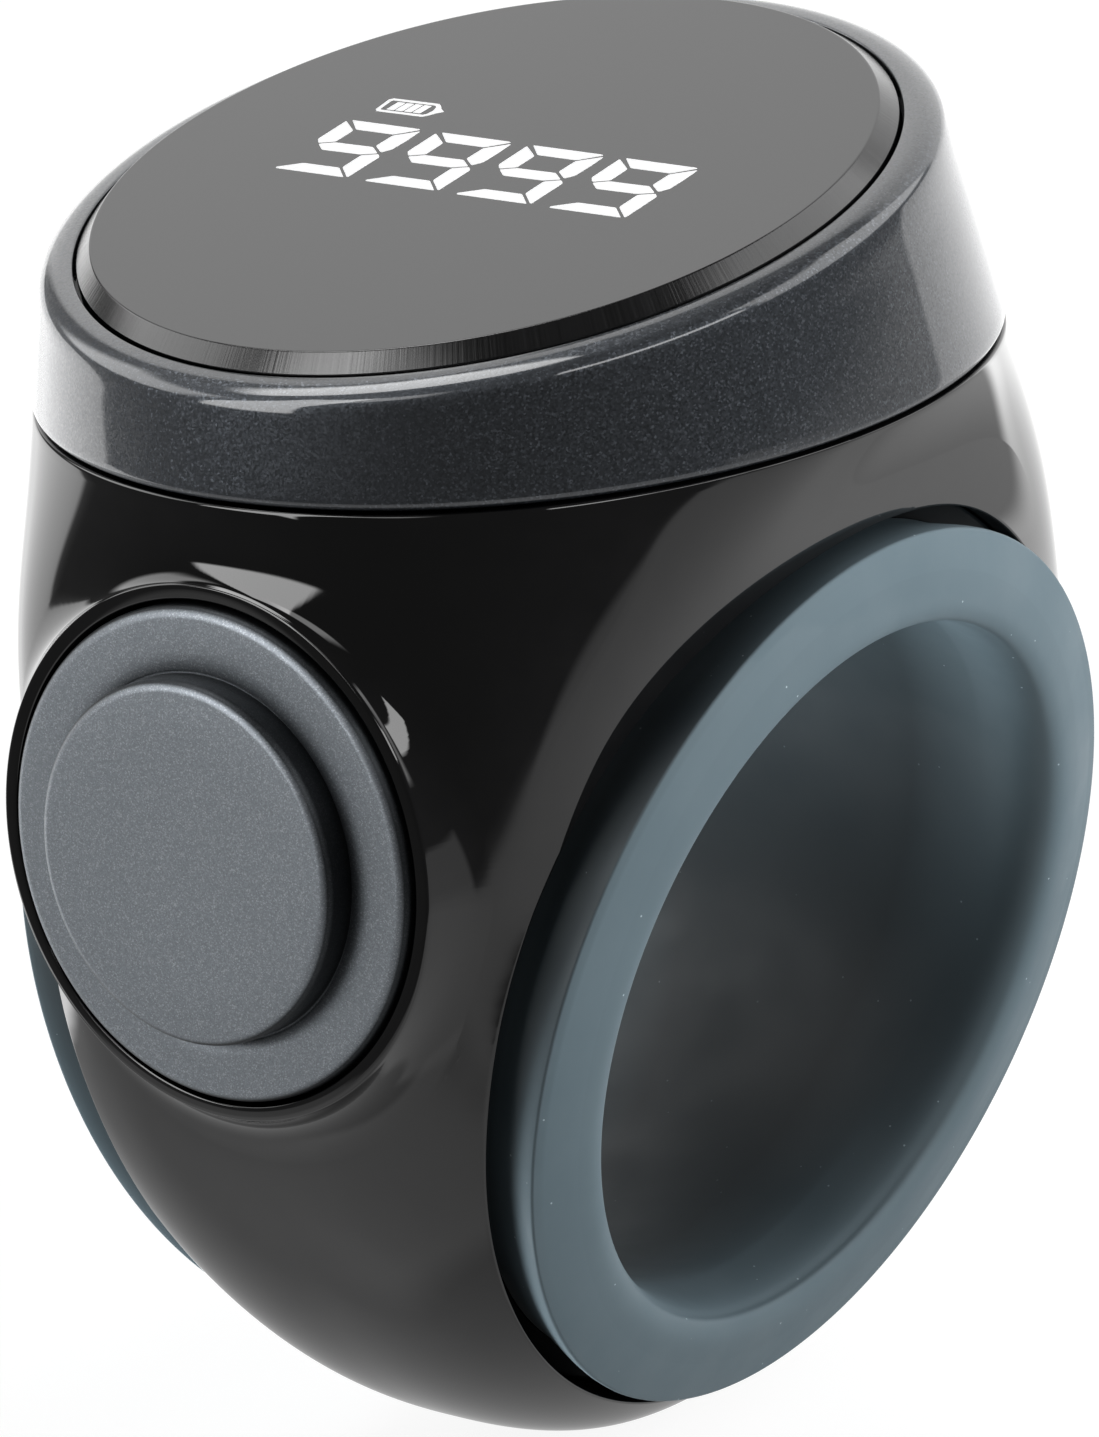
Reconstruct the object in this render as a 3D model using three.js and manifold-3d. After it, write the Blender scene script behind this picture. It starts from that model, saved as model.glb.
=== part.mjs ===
// Digital finger tally counter, worn as a ring. Millimetres, +Z up.
// X runs along the finger, -Y faces the thumb button, +Z points to the display.
// Everything is first laid out around the finger axis (y = 0, z = 0) and the
// whole group is then raised so that the origin is the bottom centre.
import * as THREE from 'three';
import { mergeVertices } from 'three/addons/utils/BufferGeometryUtils.js';
import Module from 'manifold-3d';

const wasm = await Module();
wasm.setup();

// ---------------------------------------------------------------- dimensions
const ORIGIN_Y = 0.637;         // finger axis behind the origin
const ORIGIN_Z = 12.60;         // finger axis above the resting land
const SEG = 48;                 // segments around the head
const SLEEVE_SEG = 40;          // segments around the finger hole

// finger hole and silicone sleeve
const BORE_R = 8.8;             // free bore of the sleeve
const MOUTH_R = 9.3;            // bore where its rounded mouth meets the face
const SLEEVE_TUBE_R = 9.7;      // outside of the sleeve's tube
const FLANGE_R = 11.55;         // outer radius of the two flanges
const FLANGE_X = 7.674;         // flange edge plane on the finger axis
const FLANGE_TILT = 13.83;      // degrees, flanges lean together at the bottom
const FLANGE_CROWN = 0.45;      // the face rises by this towards the mouth
const FLANGE_T = 1.35;          // flange thickness under its edge plane

// body shell
const SHELL_BORE_R = 9.95;
const TUBE_WALL_R = 10.9;       // outside of the shell's wall around the sleeve
const RIM_R = 11.8;             // crisp edge around each flange
const RIM_DEPTH = 1.2;          // that edge lies this far under the flange edge
const SEAT_DEPTH = 1.65;        // pocket floor under each flange
const BARREL_R = 12.738;        // body radius around the finger at mid width
const PARTING_Z = 14.855;       // level joint between body and bezel
const HEAD_R = 11.94;           // radius of that joint
const LAND_Z = -12.60;          // flat land the counter stands on

// head, in the tilted frame of the cover glass
const GLASS_Y = -0.568, GLASS_Z = 19.468, GLASS_TILT = 9.73;
const GLASS_R = 10.15, GLASS_TOP_R = 9.76, GLASS_BEVEL = 0.40, GLASS_T = 1.2;
const LIP_R = 10.36, LEDGE_R = 9.3;

// button, in the tilted frame of its face
const BUTTON_Y = -13.363, BUTTON_Z = 6.485, BUTTON_TILT = 5.91;
const BUTTON_R = 6.045, DISC_R = 4.566, DISC_H = 0.868;
const POCKET_R = 6.27, POCKET_DEPTH = 1.4, COLLAR_R = 6.62;

// ------------------------------------------------------------------- helpers
const rad = (d) => d * Math.PI / 180;
const V = (x, y, z) => new THREE.Vector3(x, y, z);

function closed(geometry) {
  const g = geometry.index || geometry.attributes.position ? geometry.clone() : geometry;
  for (const name of Object.keys(g.attributes)) if (name !== 'position') g.deleteAttribute(name);
  const m = mergeVertices(g, 1e-5);
  const index = m.index.array, pos = m.attributes.position;
  const tri = [];
  let volume = 0;
  const a = V(0, 0, 0), b = V(0, 0, 0), c = V(0, 0, 0);
  for (let i = 0; i < index.length; i += 3) {
    const [p, q, r] = [index[i], index[i + 1], index[i + 2]];
    if (p === q || q === r || r === p) continue;
    a.fromBufferAttribute(pos, p); b.fromBufferAttribute(pos, q); c.fromBufferAttribute(pos, r);
    volume += a.dot(b.clone().cross(c)) / 6;
    tri.push(p, q, r);
  }
  if (volume < 0) for (let i = 0; i < tri.length; i += 3) [tri[i + 1], tri[i + 2]] = [tri[i + 2], tri[i + 1]];
  return new wasm.Manifold(new wasm.Mesh({
    numProp: 3,
    vertProperties: new Float32Array(pos.array),
    triVerts: new Uint32Array(tri),
  }));
}

function geometryOf(solid) {
  const mesh = solid.getMesh();
  const g = new THREE.BufferGeometry();
  g.setAttribute('position', new THREE.BufferAttribute(new Float32Array(mesh.vertProperties), 3));
  g.setIndex(new THREE.BufferAttribute(new Uint32Array(mesh.triVerts), 1));
  g.computeVertexNormals();
  return g;
}

// a lathe whose rows are re-laid by place(row, angle); the profile of radii
// starts and ends on the axis, or closes on itself
function laid(rows, loop, place, seg = SEG) {
  const profile = [];
  for (let j = 0; j < rows; j++) {
    const on = !loop && (j === 0 || j === rows - 1);
    profile.push(new THREE.Vector2(on ? 0 : 1, j));
  }
  if (loop) profile.push(profile[0].clone());
  const n = profile.length;
  const g = new THREE.LatheGeometry(profile, seg);
  const pos = g.attributes.position;
  for (let i = 0; i <= seg; i++) {
    const angle = (i % seg) / seg * 2 * Math.PI;
    for (let j = 0; j < n; j++) {
      const p = place(loop ? j % rows : j, angle);
      pos.setXYZ(i * n + j, p.x, p.y, p.z);
    }
  }
  return closed(g);
}

const lathe = (points, seg, matrix) => {
  const g = new THREE.LatheGeometry(points.map(([r, h]) => new THREE.Vector2(r, h)), seg);
  g.applyMatrix4(matrix);
  return closed(g);
};
const cylinder = (r, h0, h1, matrix, seg = 32, r1 = r) => {
  const g = new THREE.CylinderGeometry(r1, r, h1 - h0, seg);
  g.translate(0, (h0 + h1) / 2, 0);
  g.applyMatrix4(matrix);
  return closed(g);
};
const box = (x0, x1, y0, y1, z0, z1, matrix = new THREE.Matrix4()) => {
  const g = new THREE.BoxGeometry(x1 - x0, y1 - y0, z1 - z0);
  g.translate((x0 + x1) / 2, (y0 + y1) / 2, (z0 + z1) / 2);
  g.applyMatrix4(matrix);
  return closed(g);
};
const join = (first, ...rest) => rest.reduce((s, r) => s.add(r), first);
const cut = (first, ...rest) => rest.reduce((s, r) => s.subtract(r), first);

// frames: a matrix whose columns are the local X, Y and Z axes and the origin
const frame = (ax, ay, az, o) => new THREE.Matrix4().makeBasis(ax, ay, az).setPosition(o);
const along = {
  // local Y (the lathe axis) along world X, Y or Z
  x: frame(V(0, 1, 0), V(1, 0, 0), V(0, 0, -1), V(0, 0, 0)),
  y: (x, z) => frame(V(1, 0, 0), V(0, 1, 0), V(0, 0, 1), V(x, 0, z)),
  z: (x, y) => frame(V(1, 0, 0), V(0, 0, 1), V(0, -1, 0), V(x, y, 0)),
};
const gt = rad(GLASS_TILT);
const GLASS = frame(V(1, 0, 0), V(0, -Math.sin(gt), Math.cos(gt)), V(0, -Math.cos(gt), -Math.sin(gt)),
  V(0, GLASS_Y, GLASS_Z));      // local Y is the glass normal, local -Z points back
const bt = rad(BUTTON_TILT);
const PRESS = V(0, Math.cos(bt), -Math.sin(bt));   // direction in which the button goes in
const BUTTON = frame(V(1, 0, 0), PRESS, V(0, Math.sin(bt), Math.cos(bt)),
  V(0, BUTTON_Y, BUTTON_Z));    // local Y is the depth behind the button face, local Z points up
const ft = rad(FLANGE_TILT);
const side = (s) => frame(V(s * Math.sin(ft), 0, Math.cos(ft)), V(s * Math.cos(ft), 0, -Math.sin(ft)),
  V(0, s, 0), V(s * FLANGE_X, 0, 0));              // local Y is the outward flange normal

// smooth interpolation through knots (monotone cubic)
function curve(xs, ys) {
  const n = xs.length, d = [], m = [];
  for (let i = 0; i < n - 1; i++) d.push((ys[i + 1] - ys[i]) / (xs[i + 1] - xs[i]));
  for (let i = 0; i < n; i++) {
    if (i === 0 || i === n - 1) { m.push(d[Math.min(i, n - 2)]); continue; }
    const w1 = 2 * (xs[i + 1] - xs[i]) + (xs[i] - xs[i - 1]);
    const w2 = (xs[i + 1] - xs[i]) + 2 * (xs[i] - xs[i - 1]);
    m.push(d[i - 1] * d[i] <= 0 ? 0 : (w1 + w2) / (w1 / d[i - 1] + w2 / d[i]));
  }
  return (x) => {
    let i = 0;
    while (i < n - 2 && x > xs[i + 1]) i++;
    const h = xs[i + 1] - xs[i], t = Math.min(1, Math.max(0, (x - xs[i]) / h));
    return (2 * t ** 3 - 3 * t ** 2 + 1) * ys[i] + (t ** 3 - 2 * t ** 2 + t) * h * m[i]
      + (3 * t ** 2 - 2 * t ** 3) * ys[i + 1] + (t ** 3 - t ** 2) * h * m[i + 1];
  };
}

// --------------------------------------------------------- outline of the body
// level sections are superellipses: half width a, half depth b, exponent n
const rimX = (z) => FLANGE_X - RIM_DEPTH / Math.cos(ft) + Math.tan(ft) * z;
const KZ = [0, 4, 8, 11.8, 13.3, PARTING_Z];
const bFront = curve(KZ, [BARREL_R, 13.1, 12.7, 12.25, 12.08, HEAD_R]);
const bBack = curve(KZ, [BARREL_R, 13.45, 12.85, 12.15, 12.05, HEAD_R]);
const power = curve(KZ, [2.661, 4.57, 5.21, 3.21, 2.41, 2.0]);
// up to this level the outline runs through the crisp rim of the sleeve pockets
const RIM_TOP = 9, RIM_LOW = -11.45;
function rimWidth(z, b, n) {
  const r = Math.sqrt(RIM_R ** 2 - z * z) / b;
  return rimX(z) / (1 - r ** n) ** (1 / n);
}
const shoulder = curve([RIM_TOP, 11, 11.8, 13.3, PARTING_Z],
  [rimWidth(RIM_TOP, 12.55, 4.7), 9.4, 9.85, 10.68, HEAD_R]);
function section(z) {
  const low = Math.sqrt(Math.max(0, BARREL_R ** 2 - z * z));
  const f = z > 0 ? bFront(z) : low, k = z > 0 ? bBack(z) : low, n = z > 0 ? power(z) : 2.661;
  if (z > RIM_TOP) return { a: shoulder(z), f, k, n };
  if (z > RIM_LOW) return { a: rimWidth(z, (f + k) / 2, n), f, k, n };
  const edge = rimWidth(RIM_LOW, Math.sqrt(BARREL_R ** 2 - RIM_LOW ** 2), 2.661);
  return { a: edge * ((BARREL_R + z) / (BARREL_R + RIM_LOW)) ** (1 / 2.23), f, k, n };
}
function outline(z, angle, inF = 0, inB = 0, inX = 0) {
  const s = section(z), c = Math.cos(angle), q = Math.sin(angle), e = 2 / s.n;
  const b = q < 0 ? s.f - inF : s.k - inB;
  return V((s.a - inX) * Math.sign(c) * Math.abs(c) ** e, b * Math.sign(q) * Math.abs(q) ** e, z);
}

// ------------------------------------------------------------------ body shell
const levels = [-BARREL_R];
for (const t of [10, 20, 31, 43, 56, 68, 80]) levels.push(-BARREL_R * Math.cos(rad(t)));
levels.push(0, 1.5, 3, 5, 7, 9, 10.5, 11.8, 13, 14, PARTING_Z, PARTING_Z);
const outer = laid(levels.length, false, (j, angle) => {
  if (j === 0 || j === levels.length - 1) return V(0, 0, levels[j]);
  return outline(levels[j], angle);
});
const innerLevels = [4.5, 4.5, 6, 8, 10, 12, 13.4, PARTING_Z + 0.3, PARTING_Z + 0.3];
const cavityRaw = laid(innerLevels.length, false, (j, angle) => {
  const z = innerLevels[j];
  if (j === 0 || j === innerLevels.length - 1) return V(0, 0, z);
  const p = outline(Math.min(z, PARTING_Z), angle, 1.9, 1.35, z < 8 ? 1.5 + 0.35 * (8 - z) : 1.5);
  return V(p.x, p.y, z);
}, 32);
const pillar = (x) => cylinder(1.3, 8.5, 14.05, along.z(x, 3.9), 20);
const cavity = cut(cavityRaw, cylinder(TUBE_WALL_R, -20, 20, along.x, SLEEVE_SEG), pillar(7.5), pillar(-7.5));
const collar = lathe([[0, 0.15], [COLLAR_R - 0.12, 0.15], [COLLAR_R, 0.28], [6.78, 0.95], [7.1, 1.7],
  [7.35, 2.5], [0, 2.5]], 40, BUTTON);
const seat = (s) => {
  const m = side(s);
  return join(
    cylinder(RIM_R, -RIM_DEPTH, 4, m, 48),
    cylinder(RIM_R - 0.45, -SEAT_DEPTH, -RIM_DEPTH + 0.1, m, 48, RIM_R));
};
const switchRoom = cut(box(-3.1, 3.1, 2.0, 5.0, -2.8, 4.2, BUTTON), cylinder(TUBE_WALL_R, -20, 20, along.x, SLEEVE_SEG));
const gasketGroove = cut(cylinder(11.3, PARTING_Z - 0.6, PARTING_Z + 1, along.z(0, 0), SEG),
  cylinder(10.8, PARTING_Z - 1, PARTING_Z + 2, along.z(0, 0), SEG));
const contactHole = (x) => cylinder(1.0, 9.5, 16, along.y(x, 9.4), 20);
const screwHole = (x) => cylinder(0.85, 10.4, 15, along.z(x, 3.9), 16);
const bodyShell = cut(join(outer, collar), seat(1), seat(-1),
  cylinder(SHELL_BORE_R, -20, 20, along.x, SLEEVE_SEG),
  cavity, switchRoom,
  cylinder(POCKET_R, -3, POCKET_DEPTH, BUTTON, 40), cylinder(1.9, 0, 3.2, BUTTON, 24),
  gasketGroove, contactHole(1.6), contactHole(-1.6), screwHole(7.5), screwHole(-7.5),
  box(-8, 8, -8, 8, -16, LAND_Z));

// ----------------------------------------------------------------------- sleeve
const flange = (s) => lathe([
  [0, -FLANGE_T], [FLANGE_R - 0.35, -FLANGE_T], [FLANGE_R - 0.02, -0.55], [FLANGE_R, -0.14],
  [FLANGE_R - 0.12, 0.0], [MOUTH_R + 0.35, FLANGE_CROWN], [0, FLANGE_CROWN]], SLEEVE_SEG, side(s));
const mouth = (s) => lathe([
  [0, -0.75], [BORE_R - 0.1, -0.75], [BORE_R + 0.18, 0.05], [MOUTH_R, 0.3],
  [MOUTH_R + 0.32, 0.5], [MOUTH_R + 0.32, 1.5], [0, 1.5]], SLEEVE_SEG, side(s));
const tube = (() => {
  const g = new THREE.CylinderGeometry(SLEEVE_TUBE_R, SLEEVE_TUBE_R, 18, SLEEVE_SEG);
  g.applyMatrix4(along.x);
  return [1, -1].reduce((solid, s) => cut(solid, box(-20, 20, -0.9, 9, -20, 20, side(s))), closed(g));
})();
const fingerSleeve = cut(join(tube, flange(1), flange(-1)),
  cylinder(BORE_R, -20, 20, along.x, SLEEVE_SEG), mouth(1), mouth(-1));

// ------------------------------------------------------------------------ bezel
const BEZEL_Z = 15.0;           // level underside of the bezel
const tilted = (r, h, angle) => V(r * Math.cos(angle), h, -r * Math.sin(angle)).applyMatrix4(GLASS);
const level = (r, z, angle) => V(r * Math.cos(angle), r * Math.sin(angle), z);
const bezelRows = [
  (t) => level(10.35, BEZEL_Z, t),
  (t) => level(11.72, BEZEL_Z, t),
  (t) => level(HEAD_R - 0.04, BEZEL_Z + 0.12, t),
  (t) => level(HEAD_R, BEZEL_Z + 0.35, t),
  (t) => level(HEAD_R - 0.02, BEZEL_Z + 0.35, t).lerp(tilted(11.12, -0.8, t), 0.36).multiply(V(1.006, 1.006, 1)),
  (t) => level(HEAD_R - 0.02, BEZEL_Z + 0.35, t).lerp(tilted(11.12, -0.8, t), 0.70).multiply(V(1.005, 1.005, 1)),
  (t) => tilted(11.10, -0.8, t),
  (t) => tilted(10.98, -0.36, t),
  (t) => tilted(10.76, -0.09, t),
  (t) => tilted(10.52, 0.0, t),
  (t) => tilted(LIP_R, 0.0, t),
  (t) => tilted(LIP_R, -1.22, t),
  (t) => tilted(LEDGE_R, -1.22, t),
  (t) => tilted(LEDGE_R, -1.95, t),
];
const bezel = laid(bezelRows.length, true, (j, angle) => bezelRows[j](angle));

// ------------------------------------------------------ cover glass and display
const coverGlass = lathe([[0, -GLASS_T + GLASS_BEVEL], [GLASS_R, -GLASS_T + GLASS_BEVEL], [GLASS_R, 0],
  [GLASS_TOP_R, GLASS_BEVEL], [0, GLASS_BEVEL]], SEG, GLASS);
const ring = (r0, r1, h0, h1, matrix, seg = 40) => lathe([[r0, h0], [r1, h0], [r1, h1], [r0, h1], [r0, h0]], seg, matrix);
const glassAdhesive = ring(9.4, 10.1, -1.12, -0.9, GLASS);
const diffuserFilm = cylinder(9.05, -1.32, -1.2, GLASS, 40);
const displayModule = box(-6.8, 6.8, -2.95, -1.55, -4.4, 3.6, GLASS);
const displayHolder = cut(cylinder(8.85, -2.35, -1.5, GLASS, 40), box(-7.05, 7.05, -4, 0, -4.65, 3.85, GLASS));

// ------------------------------------------------------------ electronics stack
const mainBoard = cut(cylinder(9.35, 14.25, 14.95, along.z(0, 0), 40),
  cylinder(0.85, 10, 18, along.z(7.5, 3.9), 16), cylinder(0.85, 10, 18, along.z(-7.5, 3.9), 16));
const chip = (x0, x1, y0, y1, h) => box(x0, x1, y0, y1, 15.05, 15.05 + h);
const controllerChip = chip(-2.0, 2.0, 3.0, 7.0, 0.8);
const chargeChip = chip(3.2, 5.4, 3.0, 5.0, 0.7);
const clockCrystal = chip(-5.2, -3.6, 3.2, 4.2, 0.5);
const bulkCapacitor = chip(-1.0, 1.0, 7.5, 8.6, 0.7);
function screw(x) {
  return lathe([[0, 10.9], [0.5, 11.1], [0.5, 15.1], [1.05, 15.1], [1.05, 15.45], [0.9, 15.6], [0, 15.6]], 16,
    along.z(x, 3.9));
}
const batteryCell = (() => {
  const s = new THREE.Shape();
  const w = 6.1, d = 5.0, r = 1.1;
  s.moveTo(-w + r, -d); s.lineTo(w - r, -d); s.absarc(w - r, -d + r, r, -Math.PI / 2, 0);
  s.lineTo(w, d - r); s.absarc(w - r, d - r, r, 0, Math.PI / 2);
  s.lineTo(-w + r, d); s.absarc(-w + r, d - r, r, Math.PI / 2, Math.PI);
  s.lineTo(-w, -d + r); s.absarc(-w + r, -d + r, r, Math.PI, 1.5 * Math.PI);
  const g = new THREE.ExtrudeGeometry(s, { depth: 2.3, bevelEnabled: false, curveSegments: 4 });
  g.translate(0, 0, 11.5);
  return closed(g);
})();
const batteryPad = box(-4.5, 4.5, -0.9, 0.9, 11.05, 11.35);
const batteryTab = (x) => box(x - 0.6, x + 0.6, 5.2, 5.4, 12.4, 14.05);

// ------------------------------------------------------------- charging contacts
const chargePin = (x) => lathe([[0, 9.95], [0.5, 9.95], [0.5, 11.1], [0.75, 11.1],
  [0.75, 12.35], [0.62, 12.5], [0, 12.5]], 20, along.y(x, 9.4));
const contactBlock = cut(box(-2.9, 2.9, 10.2, 10.7, 8.3, 10.5),
  cylinder(0.8, 9, 12, along.y(1.6, 9.4), 16), cylinder(0.8, 9, 12, along.y(-1.6, 9.4), 16));

// ------------------------------------------------------------- button and switch
const buttonCap = lathe([[0, -DISC_H], [DISC_R - 0.34, -DISC_H], [DISC_R - 0.1, -DISC_H + 0.1],
  [DISC_R, -DISC_H + 0.34], [DISC_R + 0.02, -0.12], [DISC_R + 0.14, 0.0], [BUTTON_R - 0.36, 0.0],
  [BUTTON_R - 0.1, 0.1], [BUTTON_R, 0.36], [BUTTON_R, 0.95], [1.5, 0.95], [1.5, 2.1], [1.1, 2.1],
  [1.1, 2.32], [0, 2.32]], 40, BUTTON);
const buttonClip = ring(1.3, 2.5, 2.12, 2.27, BUTTON, 24);
const switchStem = lathe([[0, 2.42], [0.75, 2.42], [0.75, 2.86], [0, 2.86]], 16, BUTTON);
const tactSwitch = cut(box(-1.7, 1.7, 2.72, 3.36, -1.5, 1.7, BUTTON), cylinder(1.0, 2.5, 3.26, BUTTON, 16));
const switchBoard = cut(box(-2.8, 2.8, 3.42, 3.72, -1.75, 3.9, BUTTON), cylinder(TUBE_WALL_R + 0.1, -20, 20, along.x, SLEEVE_SEG));
const flexCable = (() => {
  // a flat ribbon in the Y-Z plane, thickened to 0.16 and 3 wide in X
  const path = new THREE.CatmullRomCurve3([V(-9.42, 10.3, 0), V(-9.58, 11.2, 0), V(-9.5, 12.3, 0),
    V(-9.1, 13.3, 0), V(-8.1, 13.85, 0), V(-6.9, 13.98, 0)], false, 'catmullrom', 0.5);
  const left = [], right = [];
  for (let i = 0; i <= 14; i++) {
    const p = path.getPoint(i / 14), t = path.getTangent(i / 14);
    left.push(new THREE.Vector2(p.x - t.y * 0.08, p.y + t.x * 0.08));
    right.unshift(new THREE.Vector2(p.x + t.y * 0.08, p.y - t.x * 0.08));
  }
  const g = new THREE.ExtrudeGeometry(new THREE.Shape([...left, ...right]), { depth: 3, bevelEnabled: false });
  g.applyMatrix4(frame(V(0, 1, 0), V(0, 0, 1), V(1, 0, 0), V(-1.5, 0, 0)));
  return closed(g);
})();
const bezelGasket = ring(10.9, 11.2, PARTING_Z - 0.5, PARTING_Z + 0.04, along.z(0, 0), SEG);

// ------------------------------------------------------------------- the assembly
const group = new THREE.Group();
const tray = new THREE.Group();
tray.position.set(0, ORIGIN_Y, ORIGIN_Z);
group.add(tray);
function add(name, solid, color, roughness, metalness) {
  const mesh = new THREE.Mesh(geometryOf(solid), new THREE.MeshStandardMaterial({ color, roughness, metalness }));
  mesh.name = name;
  tray.add(mesh);
}
add('body_shell', bodyShell, 0x08080a, 0.12, 0.0);
add('bezel', bezel, 0x353a40, 0.32, 0.85);
add('cover_glass', coverGlass, 0x141516, 0.08, 0.0);
add('finger_sleeve', fingerSleeve, 0x627780, 0.62, 0.0);
add('button_cap', buttonCap, 0x50565c, 0.42, 0.8);
add('button_clip', buttonClip, 0xb0b4b8, 0.35, 1.0);
add('switch_stem', switchStem, 0x2a2a2c, 0.5, 0.0);
add('tact_switch', tactSwitch, 0xb8bcc0, 0.35, 0.9);
add('switch_board', switchBoard, 0x0d3f2a, 0.5, 0.0);
add('flex_cable', flexCable, 0xb5651d, 0.45, 0.0);
add('bezel_gasket', bezelGasket, 0x1c1c1e, 0.8, 0.0);
add('glass_adhesive', glassAdhesive, 0x1a1a1a, 0.7, 0.0);
add('diffuser_film', diffuserFilm, 0x2a2b2d, 0.6, 0.0);
add('display_module', displayModule, 0x18191b, 0.5, 0.0);
add('display_holder', displayHolder, 0x1f2022, 0.6, 0.0);
add('main_board', mainBoard, 0x0d3f2a, 0.5, 0.0);
add('controller_chip', controllerChip, 0x111213, 0.5, 0.0);
add('charge_chip', chargeChip, 0x141516, 0.5, 0.0);
add('clock_crystal', clockCrystal, 0xb4b6b8, 0.35, 0.9);
add('bulk_capacitor', bulkCapacitor, 0x8a7450, 0.5, 0.2);
add('board_screw_right', screw(7.5), 0xa8acb0, 0.3, 1.0);
add('board_screw_left', screw(-7.5), 0xa8acb0, 0.3, 1.0);
add('battery_cell', batteryCell, 0xb9bdc1, 0.4, 0.6);
add('battery_pad', batteryPad, 0x2b2b2b, 0.9, 0.0);
add('battery_tab_right', batteryTab(2.6), 0xc8c8c4, 0.3, 1.0);
add('battery_tab_left', batteryTab(-2.6), 0xc8c8c4, 0.3, 1.0);
add('charge_pin_right', chargePin(1.6), 0xd8ad55, 0.25, 1.0);
add('charge_pin_left', chargePin(-1.6), 0xd8ad55, 0.25, 1.0);
add('contact_block', contactBlock, 0x1b1b1d, 0.6, 0.0);

export default group;
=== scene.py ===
import math

import bpy
import bmesh
import numpy as np
from mathutils import Matrix, Vector


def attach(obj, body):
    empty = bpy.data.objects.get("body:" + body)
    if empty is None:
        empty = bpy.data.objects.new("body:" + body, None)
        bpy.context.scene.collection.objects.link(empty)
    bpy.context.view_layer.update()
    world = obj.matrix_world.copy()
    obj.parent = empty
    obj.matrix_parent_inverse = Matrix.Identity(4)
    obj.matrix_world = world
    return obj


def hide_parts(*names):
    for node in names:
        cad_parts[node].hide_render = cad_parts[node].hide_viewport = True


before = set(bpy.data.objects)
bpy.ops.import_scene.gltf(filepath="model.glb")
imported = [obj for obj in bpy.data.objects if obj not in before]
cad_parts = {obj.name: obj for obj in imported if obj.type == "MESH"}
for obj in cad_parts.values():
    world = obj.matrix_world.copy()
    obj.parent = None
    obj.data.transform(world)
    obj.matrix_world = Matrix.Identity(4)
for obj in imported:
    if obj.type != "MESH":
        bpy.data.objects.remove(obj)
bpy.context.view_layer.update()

scene = bpy.context.scene

# All shapes are laid out in millimetres around the finger axis, then moved to
# the row frame (origin at the bottom centre) and scaled to metres.
OFF = np.array([0.0, 0.637, 12.60])
MM = 0.001

# ------------------------------------------------------------------ camera
AZ, EL, ROLL, DIST = 39.743, 19.619, -5.701, 207.542
TARGET = np.array([-0.183, 0.023, 5.368])
FOCAL_PX, LONG_PX = 8352.2, 1437.0


def make_camera():
    a, e, r = (math.radians(v) for v in (AZ, EL, ROLL))
    back = np.array([math.sin(a) * math.cos(e), -math.cos(a) * math.cos(e), math.sin(e)])
    right = np.cross(-back, [0.0, 0.0, 1.0])
    right /= np.linalg.norm(right)
    up = np.cross(right, -back)
    down = -up
    # roll about the viewing axis
    right, down = (math.cos(r) * right - math.sin(r) * down,
                   math.sin(r) * right + math.cos(r) * down)
    eye = (TARGET + back * DIST + OFF) * MM
    data = bpy.data.cameras.new("camera")
    data.sensor_fit, data.sensor_width = "AUTO", 36.0
    data.lens = FOCAL_PX / LONG_PX * 36.0
    data.clip_start, data.clip_end = 0.01, 20.0
    cam = bpy.data.objects.new("camera", data)
    scene.collection.objects.link(cam)
    m = Matrix.Identity(4)
    for i in range(3):
        m[i][0], m[i][1], m[i][2], m[i][3] = right[i], -down[i], back[i], eye[i]
    cam.matrix_world = m
    scene.camera = cam


make_camera()
scene.view_settings.view_transform = "Standard"
scene.view_settings.look = "None"

# -------------------------------------------------------------- dimensions
FLANGE_X, FLANGE_TILT = 7.674, math.radians(13.83)
RIM_R, RIM_DEPTH = 11.8, 1.2
BARREL_R, PARTING_Z, HEAD_R, LAND_Z = 12.738, 14.855, 11.94, -12.60
GLASS_O, GLASS_TILT = np.array([0.0, -0.568, 19.468]), math.radians(9.73)
BUTTON_O, BUTTON_TILT = np.array([0.0, -13.363, 6.485]), math.radians(5.91)
X = np.array([1.0, 0.0, 0.0])
GLASS_N = np.array([0.0, -math.sin(GLASS_TILT), math.cos(GLASS_TILT)])
GLASS_U = np.array([0.0, math.cos(GLASS_TILT), math.sin(GLASS_TILT)])
PRESS = np.array([0.0, math.cos(BUTTON_TILT), -math.sin(BUTTON_TILT)])
BUTTON_U = np.array([0.0, math.sin(BUTTON_TILT), math.cos(BUTTON_TILT)])


def polar(origin, ax, ay, an, r, angle, h):
    """Points at radius r and angle in the plane of ax and ay, h along an."""
    r, angle, h = np.broadcast_arrays(r, angle, h)
    return (origin + (r * np.cos(angle))[..., None] * ax + (r * np.sin(angle))[..., None] * ay
            + h[..., None] * an)


def glass(r, angle, h):
    return polar(GLASS_O, X, GLASS_U, GLASS_N, r, angle, h)


def button(r, angle, depth):
    return polar(BUTTON_O, X, BUTTON_U, PRESS, r, angle, depth)


def side_axes(s):
    return (np.array([s * FLANGE_X, 0.0, 0.0]),
            np.array([s * math.sin(FLANGE_TILT), 0.0, math.cos(FLANGE_TILT)]),
            np.array([0.0, 1.0, 0.0]),
            np.array([s * math.cos(FLANGE_TILT), 0.0, -math.sin(FLANGE_TILT)]))


def flange(s, r, angle, h):
    o, ax, ay, an = side_axes(s)
    return polar(o, ax, ay, an, r, angle, h)


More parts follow.
